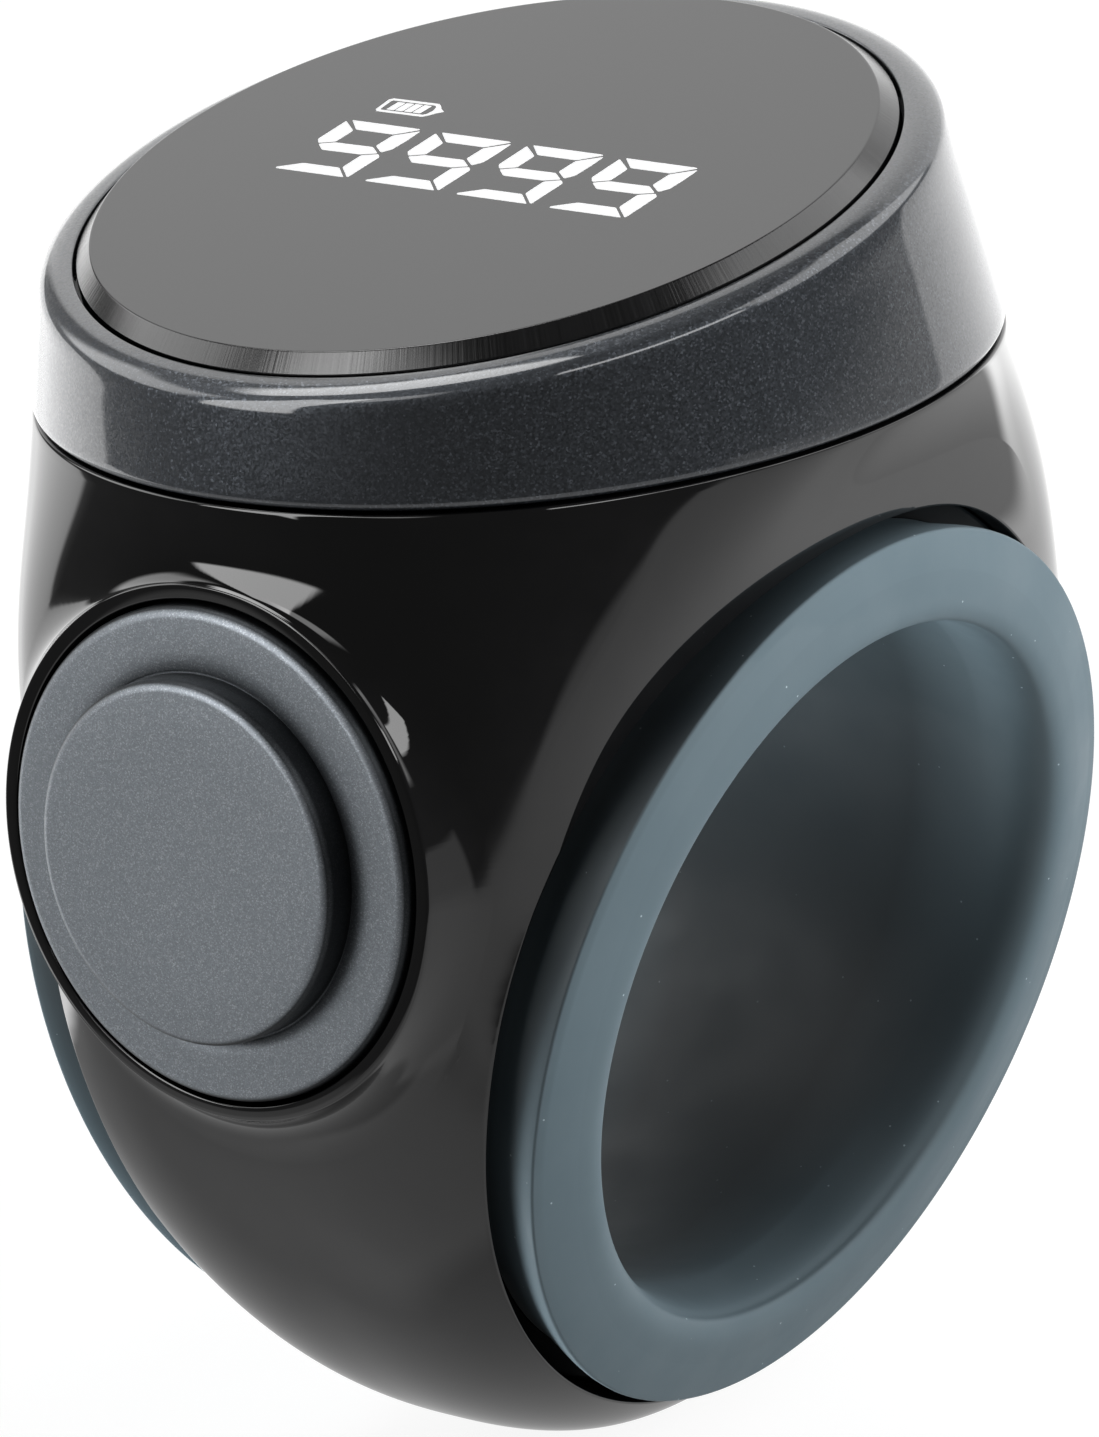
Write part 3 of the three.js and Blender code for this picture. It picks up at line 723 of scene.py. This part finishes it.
# ------------------------------------------------------------ digits and symbol
# Outlines in hundredths of a digit cell, drawn on the glass: x right, v up.
SEGMENTS = {
    "a": [(122, 244), (315, 248), (322, 251), (272, 286), (164, 284)],
    "b": [(327, 257), (325, 304), (319, 352), (302, 371), (268, 345), (274, 291)],
    "f": [(110, 251), (160, 290), (155, 348), (117, 363), (103, 346)],
    "g": [(121, 367), (157, 352), (265, 352), (297, 377), (259, 391), (149, 391)],
    "c": [(302, 380), (314, 392), (305, 495), (301, 495), (259, 456), (264, 395)],
    "d": [(97, 490), (150, 459), (253, 460), (295, 499), (99, 496)],
}
CELL = 90.0


def plate(name, loops, top=0.404, bottom=0.37):
    """Thin flat prism on the glass over a polygon, which may have one hole."""
    verts, faces = [], []
    place = lambda p, h: GLASS_O + (p[0] / CELL - 6.6) * X + (4.2 - p[1] / CELL) * GLASS_U + h * GLASS_N
    n = len(loops[0])
    for h in (bottom, top):
        for lp in loops:
            verts += [place(p, h) for p in lp]
    k = n * len(loops)
    for li in range(len(loops)):
        for j in range(n):
            a, b = li * n + j, li * n + (j + 1) % n
            faces.append((a, b, k + b, k + a))
    if len(loops) == 1:
        faces += [tuple(range(n)), tuple(range(k, k + n))]
    else:
        for j in range(n):
            i = (j + 1) % n
            faces += [(j, i, n + i, n + j), (k + j, k + i, k + n + i, k + n + j)]
    return make_object(name, verts, faces, sharp=30.0)


def rounded(poly, radius, steps=3):
    """The polygon with its corners rounded off."""
    out = []
    n = len(poly)
    for i in range(n):
        p, a, b = (np.array(poly[k % n], float) for k in (i, i - 1, i + 1))
        ua, ub = a - p, b - p
        la, lb = np.linalg.norm(ua), np.linalg.norm(ub)
        d = min(radius, la * 0.45, lb * 0.45)
        q0, q1 = p + ua / la * d, p + ub / lb * d
        for u in np.linspace(0, 1, steps + 1):
            out.append(tuple((1 - u) ** 2 * q0 + 2 * u * (1 - u) * p + u * u * q1))
    return out


lit = []
for cell in range(4):
    for key, poly in SEGMENTS.items():
        moved = [(x + 261.0 * cell, y + 7.0 * cell) for x, y in poly]
        lit.append(plate("digit_%d_%s" % (cell + 1, key), [rounded(moved, 5)]))
case_out = [(150, 125), (280, 126), (291, 134), (303, 148), (318, 158), (303, 170), (291, 184), (280, 192),
            (150, 191), (142, 183), (141, 133)]
case_in = [(155, 134), (276, 135), (283, 141), (286, 150), (288, 159), (286, 168), (283, 177), (276, 183),
           (156, 182), (152, 177), (151, 139)]
lit.append(plate("battery_outline", [case_out, case_in]))
for bar in range(4):
    x = 170 + bar * 25
    lit.append(plate("battery_bar_%d" % (bar + 1), [rounded([(x + 3, 139), (x + 24, 139), (x + 19, 178), (x - 2, 178)], 2)]))


# -------------------------------------------------------------------- materials
class Mat:
    """A small helper for node materials."""

    def __init__(self, name):
        self.m = bpy.data.materials.new(name)
        self.m.use_nodes = True
        self.t = self.m.node_tree
        self.b = self.t.nodes["Principled BSDF"]

    def node(self, kind, **values):
        n = self.t.nodes.new(kind)
        for k, v in values.items():
            if hasattr(n, k):
                setattr(n, k, v)
            else:
                n.inputs[k].default_value = v
        return n

    def set(self, **values):
        for k, v in values.items():
            key = k.replace("_", " ")
            self.b.inputs[key].default_value = v
        return self

    def link(self, a, b):
        self.t.links.new(a, b)

    def coords(self):
        return self.node("ShaderNodeTexCoord").outputs["Object"]

    def noise(self, scale, detail=2.0, rough=0.5, vector=None):
        n = self.node("ShaderNodeTexNoise")
        n.inputs["Scale"].default_value = scale
        n.inputs["Detail"].default_value = detail
        n.inputs["Roughness"].default_value = rough
        self.link(vector or self.coords(), n.inputs["Vector"])
        return n.outputs["Fac"]

    def ramp(self, fac, stops):
        r = self.node("ShaderNodeValToRGB")
        e = r.color_ramp.elements
        while len(e) < len(stops):
            e.new(0.5)
        for el, (p, c) in zip(e, stops):
            el.position = p
            el.color = (*c, 1.0) if len(c) == 3 else c
        self.link(fac, r.inputs["Fac"])
        return r.outputs["Color"]

    def range(self, fac, a, b, c, d):
        r = self.node("ShaderNodeMapRange")
        for k, v in zip(("From Min", "From Max", "To Min", "To Max"), (a, b, c, d)):
            r.inputs[k].default_value = v
        self.link(fac, r.inputs["Value"])
        return r.outputs["Result"]

    def bump(self, height, strength, distance):
        n = self.node("ShaderNodeBump")
        n.inputs["Strength"].default_value = strength
        n.inputs["Distance"].default_value = distance
        self.link(height, n.inputs["Height"])
        self.link(n.outputs["Normal"], self.b.inputs["Normal"])
        return n

    def colour(self, socket):
        self.link(socket, self.b.inputs["Base Color"])
        return self

    def rough(self, socket):
        self.link(socket, self.b.inputs["Roughness"])
        return self


def gloss_black():
    m = Mat("gloss_black")
    m.set(IOR=1.5)
    m.colour(m.ramp(m.noise(900, 3), [(0.3, (0.0022, 0.0022, 0.0024)), (0.7, (0.0036, 0.0035, 0.0037))]))
    m.rough(m.range(m.noise(220, 3), 0.3, 0.7, 0.022, 0.040))
    return m.m


def pearl_paint():
    m = Mat("pearl_paint")
    cell = m.node("ShaderNodeTexVoronoi", feature="F1")
    cell.inputs["Scale"].default_value = 21000
    m.link(m.coords(), cell.inputs["Vector"])
    sep = m.node("ShaderNodeSeparateColor")
    m.link(cell.outputs["Color"], sep.inputs["Color"])
    m.colour(m.ramp(sep.outputs["Red"], [(0.0, (0.018, 0.021, 0.025)), (0.80, (0.028, 0.032, 0.038)),
                                         (1.0, (0.060, 0.067, 0.078))]))
    m.set(Metallic=0.75)
    m.rough(m.range(sep.outputs["Green"], 0, 1, 0.34, 0.52))
    m.set(Coat_Weight=1.0, Coat_Roughness=0.04)
    m.b.inputs["Coat IOR"].default_value = 1.5
    # each flake lies at its own small angle
    mapn = m.node("ShaderNodeVectorMath", operation="MULTIPLY_ADD")
    m.link(cell.outputs["Color"], mapn.inputs[0])
    mapn.inputs[1].default_value = (0.22, 0.22, 0.22)
    mapn.inputs[2].default_value = (-0.11, -0.11, -0.11)
    geo = m.node("ShaderNodeNewGeometry")
    add = m.node("ShaderNodeVectorMath", operation="ADD")
    m.link(mapn.outputs[0], add.inputs[0])
    m.link(geo.outputs["Normal"], add.inputs[1])
    nrm = m.node("ShaderNodeVectorMath", operation="NORMALIZE")
    m.link(add.outputs[0], nrm.inputs[0])
    m.link(nrm.outputs[0], m.b.inputs["Normal"])
    return m.m


def satin_metal():
    m = Mat("satin_metal")
    cell = m.node("ShaderNodeTexVoronoi", feature="F1")
    cell.inputs["Scale"].default_value = 34000
    m.link(m.coords(), cell.inputs["Vector"])
    sep = m.node("ShaderNodeSeparateColor")
    m.link(cell.outputs["Color"], sep.inputs["Color"])
    paint = m.ramp(sep.outputs["Red"], [(0.0, (0.190, 0.208, 0.228)), (0.8, (0.248, 0.270, 0.292)),
                                        (1.0, (0.36, 0.385, 0.41))])
    # painted shade: the side walls and rounded edges are painted darker the further they turn from the face, which
    # also dims their reflections
    geo = m.node("ShaderNodeNewGeometry")
    dot = m.node("ShaderNodeVectorMath", operation="DOT_PRODUCT")
    m.link(geo.outputs["Normal"], dot.inputs[0])
    dot.inputs[1].default_value = tuple(-PRESS)
    wall_shade = m.range(dot.outputs["Value"], 0.66, 0.995, 0.11, 1.0)
    # painted shade in the crease round the raised disc: a dark ring at the foot of the disc
    rel = m.node("ShaderNodeVectorMath", operation="SUBTRACT")
    m.link(m.coords(), rel.inputs[0])
    rel.inputs[1].default_value = tuple((BUTTON_O + OFF) * MM)
    along = m.node("ShaderNodeVectorMath", operation="CROSS_PRODUCT")
    m.link(rel.outputs[0], along.inputs[0])
    along.inputs[1].default_value = tuple(PRESS)
    off_axis = m.node("ShaderNodeVectorMath", operation="LENGTH")
    m.link(along.outputs[0], off_axis.inputs[0])
    crease_shade = m.node("ShaderNodeMath", operation="MULTIPLY")
    # painted shade: darkest just round the disc's foot, fading out across the ring
    m.link(m.range(off_axis.outputs["Value"], 0.00442, 0.00446, 1.0, 0.5), crease_shade.inputs[0])
    m.link(m.range(off_axis.outputs["Value"], 0.00448, 0.00478, 1.0, 2.0), crease_shade.inputs[1])
    both = m.node("ShaderNodeMath", operation="MULTIPLY")
    m.link(wall_shade, both.inputs[0])
    m.link(crease_shade.outputs[0], both.inputs[1])
    dim = m.node("ShaderNodeVectorMath", operation="SCALE")
    m.link(paint, dim.inputs[0])
    m.link(both.outputs[0], dim.inputs["Scale"])
    m.colour(dim.outputs[0])
    m.set(Metallic=1.0)
    m.rough(m.range(sep.outputs["Green"], 0, 1, 0.42, 0.52))
    m.bump(m.noise(5200, 2), 0.18, 0.00002)
    return m.m


def dark_glass():
    m = Mat("dark_glass")
    m.colour(m.ramp(m.noise(60, 2), [(0.3, (0.012, 0.0122, 0.0126)), (0.7, (0.0135, 0.0137, 0.0142))]))
    m.rough(m.range(m.noise(160, 2), 0.3, 0.7, 0.05, 0.08))
    m.set(IOR=1.52)
    return m.m


def ground_bevel():
    m = Mat("ground_bevel")
    # fine radial grinding marks: noise over the angle round the glass
    tc = m.coords()
    sep = m.node("ShaderNodeSeparateXYZ")
    m.link(tc, sep.inputs[0])
    sub = m.node("ShaderNodeMath", operation="SUBTRACT")
    m.link(sep.outputs["Y"], sub.inputs[0])
    sub.inputs[1].default_value = (GLASS_O[1] + OFF[1]) * MM
    ang = m.node("ShaderNodeMath", operation="ARCTAN2")
    m.link(sub.outputs[0], ang.inputs[0])
    m.link(sep.outputs["X"], ang.inputs[1])
    comb = m.node("ShaderNodeCombineXYZ")
    m.link(ang.outputs[0], comb.inputs["X"])
    fine = m.noise(110, 3, 0.6, comb.outputs[0])
    wide = m.noise(9, 2, 0.5, comb.outputs[0])
    mix = m.node("ShaderNodeMath", operation="MULTIPLY")
    m.link(fine, mix.inputs[0])
    m.link(wide, mix.inputs[1])
    m.colour(m.ramp(mix.outputs[0], [(0.18, (0.003, 0.003, 0.0032)), (0.36, (0.011, 0.011, 0.012))]))
    m.rough(m.range(fine, 0.3, 0.7, 0.12, 0.24))
    m.bump(fine, 0.25, 0.00002)
    return m.m


def silicone():
    m = Mat("silicone")
    cloud = m.ramp(m.noise(260, 4), [(0.3, (0.064, 0.092, 0.108)), (0.7, (0.074, 0.104, 0.121))])
    dust = m.node("ShaderNodeTexVoronoi", feature="F1")
    dust.inputs["Scale"].default_value = 1900
    m.link(m.coords(), dust.inputs["Vector"])
    sep = m.node("ShaderNodeSeparateColor")
    m.link(dust.outputs["Color"], sep.inputs["Color"])
    near = m.node("ShaderNodeMath", operation="LESS_THAN")
    m.link(dust.outputs["Distance"], near.inputs[0])
    near.inputs[1].default_value = 0.05
    rare = m.node("ShaderNodeMath", operation="GREATER_THAN")
    m.link(sep.outputs["Red"], rare.inputs[0])
    rare.inputs[1].default_value = 0.50
    both = m.node("ShaderNodeMath", operation="MULTIPLY")
    m.link(near.outputs[0], both.inputs[0])
    m.link(rare.outputs[0], both.inputs[1])
    mix = m.node("ShaderNodeMix", data_type="RGBA")
    m.link(both.outputs[0], mix.inputs["Factor"])
    m.link(cloud, mix.inputs["A"])
    mix.inputs["B"].default_value = (0.30, 0.36, 0.39, 1)
    # painted shade: the bore darkens with depth, the foot of the flange wall darkens down in the groove, and the
    # whole sleeve is darker towards the bottom and a touch lighter at the top
    xyz = m.node("ShaderNodeSeparateXYZ")
    m.link(m.coords(), xyz.inputs[0])

    def calc(op, a, b=None):
        n = m.node("ShaderNodeMath", operation=op)
        for i, v in enumerate((a, b)):
            if isinstance(v, float):
                n.inputs[i].default_value = v
            elif v is not None:
                m.link(v, n.inputs[i])
        return n.outputs[0]

    high = calc("SUBTRACT", xyz.outputs["Z"], float(OFF[2] * MM))
    deep = calc("SUBTRACT", calc("MULTIPLY", calc("ABSOLUTE", xyz.outputs["X"]), math.cos(FLANGE_TILT)),
                calc("ADD", calc("MULTIPLY", high, math.sin(FLANGE_TILT)),
                     FLANGE_X * math.cos(FLANGE_TILT) * MM))
    across = calc("SUBTRACT", xyz.outputs["Y"], float(OFF[1] * MM))
    radius = calc("SQRT", calc("ADD", calc("MULTIPLY", high, high), calc("MULTIPLY", across, across)))
    # painted shade: the bore is darker the deeper it goes
    bore = m.range(deep, -0.0036, 0.0, 0.26, 0.96)
    # painted shade: the flange wall is darker down in the groove
    wall_shade = m.range(deep, -0.00130, -0.00030, 0.50, 1.0)
    shade = m.node("ShaderNodeMix")
    m.link(calc("GREATER_THAN", radius, 0.0102), shade.inputs["Factor"])
    m.link(bore, shade.inputs["A"])
    m.link(wall_shade, shade.inputs["B"])
    dim = m.node("ShaderNodeVectorMath", operation="SCALE")
    m.link(mix.outputs["Result"], dim.inputs[0])
    # painted shade: darker towards the bottom and lighter at the top, as if lit from above
    m.link(calc("MULTIPLY", shade.outputs["Result"], m.range(high, -0.0115, 0.0115, 0.68, 1.04)),
           dim.inputs["Scale"])
    m.colour(dim.outputs[0])
    m.rough(m.range(m.noise(420, 3), 0.3, 0.7, 0.52, 0.66))
    m.bump(m.noise(1500, 3), 0.12, 0.00003)
    m.set(IOR=1.42)
    return m.m


def light_up():
    m = Mat("lit_segment")
    m.colour(m.ramp(m.noise(400, 1), [(0.3, (0.75, 0.75, 0.75)), (0.7, (0.8, 0.8, 0.8))]))
    m.link(m.ramp(m.noise(700, 1), [(0.2, (0.93, 0.94, 0.95)), (0.8, (1.0, 1.0, 1.0))]),
           m.b.inputs["Emission Color"])
    m.set(Roughness=0.5)
    m.b.inputs["Emission Strength"].default_value = 0.8
    return m.m


def simple(name, low, high, scale, r0, r1, metal=0.0, bump=0.0):
    m = Mat(name)
    m.colour(m.ramp(m.noise(scale, 3), [(0.3, low), (0.7, high)]))
    m.rough(m.range(m.noise(scale * 2.3, 2), 0.3, 0.7, r0, r1))
    m.set(Metallic=metal)
    if bump:
        m.bump(m.noise(scale * 3, 2), bump, 0.00003)
    return m.m


M_BODY, M_BEZEL, M_GLASS, M_BEVEL = gloss_black(), pearl_paint(), dark_glass(), ground_bevel()
M_SLEEVE, M_BUTTON, M_LIT = silicone(), satin_metal(), light_up()
M_GILT = simple("gilt_contact", (0.62, 0.42, 0.14), (0.74, 0.52, 0.20), 900, 0.20, 0.32, 1.0)
M_STEEL = simple("steel_small", (0.50, 0.51, 0.52), (0.62, 0.63, 0.64), 900, 0.28, 0.42, 1.0)
M_INNER = simple("inner_black", (0.010, 0.010, 0.011), (0.018, 0.018, 0.019), 700, 0.5, 0.65, 0.0, 0.1)
M_BOARD = simple("board_green", (0.006, 0.045, 0.022), (0.010, 0.062, 0.030), 500, 0.35, 0.5)
M_FLEX = simple("flex_amber", (0.36, 0.13, 0.02), (0.46, 0.18, 0.03), 500, 0.35, 0.5)
M_GASKET = simple("gasket_rubber", (0.012, 0.012, 0.013), (0.020, 0.020, 0.021), 900, 0.7, 0.85, 0.0, 0.2)
M_CHIP = simple("chip_epoxy", (0.008, 0.008, 0.009), (0.014, 0.014, 0.015), 1500, 0.45, 0.6, 0.0, 0.15)
M_TAN = simple("chip_ceramic", (0.20, 0.15, 0.08), (0.28, 0.21, 0.12), 1200, 0.4, 0.55)
M_FOIL = simple("battery_foil", (0.42, 0.43, 0.44), (0.54, 0.55, 0.56), 600, 0.3, 0.45, 0.8, 0.2)


def wear(ob, material):
    ob.data.materials.clear()
    ob.data.materials.append(material)


wear(body_skin, M_BODY)
wear(bezel_ring, M_BEZEL)
wear(glass_disc, M_GLASS)
glass_disc.data.materials.append(M_BEVEL)
for poly in glass_disc.data.polygons:
    c = np.array(poly.center) / MM - OFF - GLASS_O
    radius, height = math.hypot(c @ X, c @ GLASS_U), c @ GLASS_N
    if radius > 9.73 and height > -0.02:
        poly.material_index = 1
wear(sleeve_skin, M_SLEEVE)
wear(button_skin, M_BUTTON)
for ob in pin_skins.values():
    wear(ob, M_GILT)
for ob in lit:
    wear(ob, M_LIT)

INNER = {
    "button_clip": M_STEEL, "switch_stem": M_INNER, "tact_switch": M_STEEL, "switch_board": M_BOARD,
    "flex_cable": M_FLEX, "bezel_gasket": M_GASKET, "glass_adhesive": M_INNER, "diffuser_film": M_INNER,
    "display_module": M_CHIP, "display_holder": M_INNER, "main_board": M_BOARD, "controller_chip": M_CHIP,
    "charge_chip": M_CHIP, "clock_crystal": M_STEEL, "bulk_capacitor": M_TAN, "board_screw_right": M_STEEL,
    "board_screw_left": M_STEEL, "battery_cell": M_FOIL, "battery_pad": M_GASKET, "battery_tab_right": M_STEEL,
    "battery_tab_left": M_STEEL, "contact_block": M_INNER,
}
for name, material in INNER.items():
    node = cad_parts[name]
    if not node.material_slots:
        node.data.materials.append(material)
    for sl in node.material_slots:
        sl.material = material

# ---------------------------------------------------------------- what rides on what
for ob, body, node, slot in (
    (body_skin, "housing", "body_shell", "body_shell"),
    (bezel_ring, "housing", "bezel", "bezel"),
    (glass_disc, "housing", "cover_glass", "cover_glass"),
    (sleeve_skin, "housing", "finger_sleeve", "finger_sleeve"),
    (button_skin, "button", "button_cap", "button_cap"),
    (pin_skins["right"], "housing", "charge_pin_right", "gilt"),
    (pin_skins["left"], "housing", "charge_pin_left", "gilt"),
):
    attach(ob, body)
    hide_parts(node)
for ob in lit:
    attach(ob, "housing")

# ------------------------------------------------------------------ floor and light
# Soft panels round the object: azimuth from, to (None: all round), elevation
# from, to, brightness, softness of the edges in degrees.
# The last number slants a panel's sides: degrees of azimuth for each of elevation.
DARK = 0.14
LIGHT_PANELS = [
    (None, None, -95, -22, 0.42, 4, 3, 0),          # pale floor as the gloss sees it
    (-60, 30, -60, -30, 0.30, 30, 12, 0),           # lighter where the front sees it
    (20, 172, -78, -22, 0.36, 30, 8, 0),            # and on the right
    (-190, -66.5, -25, 10, 1.6, 3, 3, 0.9),         # white backdrop, left and behind
    (-112, -66.5, -25, 10, 0.5, 12, 3, 0.9),        # its brighter end
    (152, 235, -23, 10, 1.6, 3, 4, 0),
    (86, 152, -22, -3, 0.56, 8, 4, 0),
    (-220, -118, 10, 50, 1.31, 6, 6, 0),            # upper backdrop that the glass shows
    (172, 235, 10, 50, 1.31, 6, 6, 0),
    (100, 170, 22, 60, 3.1, 6, 6, 0),               # bright screen, right and behind
    (-42, -17, 8, 56, 6.8, 2, 2, 0),                # key light, front left
    (-24, 6, 43, 57, 3.4, 14, 3, 0),                # and its fading right side
    (-100, -52, 20, 42, 3.4, 12, 6, 0),             # window on the left, for the rim of the band
    (44, 96, 32, 44, 6.6, 2, 2, 0),                 # small light, front right
    (-125, -68, 54, 84, 8.0, 6, 6, 0),              # light above, on the left
]
# Large soft boxes for the matt surfaces: azimuth, elevation, distance, width, height, power.
SOFT_BOXES = [
    (118, 6, 0.18, 0.14, 0.14, 0.74),
    (38, -30, 0.30, 0.25, 0.25, 0.17),
    (-74, -36, 0.30, 0.22, 0.22, 4.6),
]


def studio():
    me = bpy.data.meshes.new("floor")
    bm = bmesh.new()
    bmesh.ops.create_grid(bm, x_segments=8, y_segments=8, size=2.5)
    bm.to_mesh(me)
    bm.free()
    floor = bpy.data.objects.new("floor", me)
    scene.collection.objects.link(floor)
    m = Mat("floor_pale")
    m.colour(m.ramp(m.noise(3, 2), [(0.3, (0.12, 0.12, 0.12)), (0.7, (0.14, 0.14, 0.14))]))
    m.rough(m.range(m.noise(5, 2), 0.3, 0.7, 0.7, 0.8))
    wear(floor, m.m)
    floor.visible_glossy = False
    floor.visible_diffuse = False
    floor.visible_shadow = False
    m.b.inputs["Emission Color"].default_value = (1.0, 1.0, 1.0, 1)
    m.b.inputs["Emission Strength"].default_value = 0.90

    w = bpy.data.worlds.new("studio")
    scene.world = w
    w.use_nodes = True
    t = w.node_tree
    bg, out = t.nodes["Background"], t.nodes["World Output"]

    def math_node(op, *args):
        n = t.nodes.new("ShaderNodeMath")
        n.operation = op
        for i, a in enumerate(args):
            if isinstance(a, (int, float)):
                n.inputs[i].default_value = a
            else:
                t.links.new(a, n.inputs[i])
        return n.outputs[0]

    def step(v, at, soft):
        """Rises from 0 to 1 around at, over soft degrees."""
        n = t.nodes.new("ShaderNodeMapRange")
        n.interpolation_type = "SMOOTHSTEP"
        n.inputs["From Min"].default_value = at - soft / 2
        n.inputs["From Max"].default_value = at + soft / 2
        t.links.new(v, n.inputs["Value"])
        return n.outputs["Result"]

    tc = t.nodes.new("ShaderNodeTexCoord")
    sep = t.nodes.new("ShaderNodeSeparateXYZ")
    t.links.new(tc.outputs["Generated"], sep.inputs[0])
    sx, sy, sz = sep.outputs
    az = math_node("MULTIPLY", math_node("ARCTAN2", sx, math_node("MULTIPLY", sy, -1.0)), 180 / math.pi)
    el = math_node("MULTIPLY", math_node("ARCSINE", sz), 180 / math.pi)

    def card(a0, a1, e0, e1, value, soft_a, soft_e, slant):
        """A soft-edged panel of light between two azimuths (0 is the front,
        90 the right) and two elevations."""
        m = math_node("SUBTRACT", step(el, e0, soft_e), step(el, e1, soft_e))
        if a0 is not None:
            way = az
            if slant:
                way = math_node("ADD", az, math_node("MULTIPLY", math_node("SUBTRACT", el, e0 + 10.0), slant))
            m = math_node("MULTIPLY", m, math_node("SUBTRACT", step(way, a0, soft_a), step(way, a1, soft_a)))
        return math_node("MULTIPLY", m, value)

    total = None
    for c in LIGHT_PANELS:
        v = card(*c)
        total = v if total is None else math_node("ADD", total, v)
    total = math_node("ADD", total, DARK)
    path = t.nodes.new("ShaderNodeLightPath")
    strength = t.nodes.new("ShaderNodeMix")
    t.links.new(path.outputs["Is Camera Ray"], strength.inputs["Factor"])
    t.links.new(total, strength.inputs["A"])
    strength.inputs["B"].default_value = 0.93
    t.links.new(strength.outputs["Result"], bg.inputs["Strength"])
    bg.inputs["Color"].default_value = (1.0, 1.0, 1.0, 1)
    w.cycles_visibility.diffuse = False

    for i, (a, e, dist, wide, high, power) in enumerate(SOFT_BOXES):
        data = bpy.data.lights.new("soft_box_%d" % (i + 1), "AREA")
        data.shape, data.size, data.size_y, data.energy = "RECTANGLE", wide, high, power
        lamp = bpy.data.objects.new(data.name, data)
        scene.collection.objects.link(lamp)
        a, e = math.radians(a), math.radians(e)
        way = Vector((math.sin(a) * math.cos(e), -math.cos(a) * math.cos(e), math.sin(e)))
        lamp.location = Vector((0.0, 0.0, 0.014)) + way * dist
        lamp.rotation_mode = "QUATERNION"
        lamp.rotation_quaternion = way.to_track_quat("Z", "Y")
        lamp.visible_glossy = False
        lamp.visible_camera = False


studio()
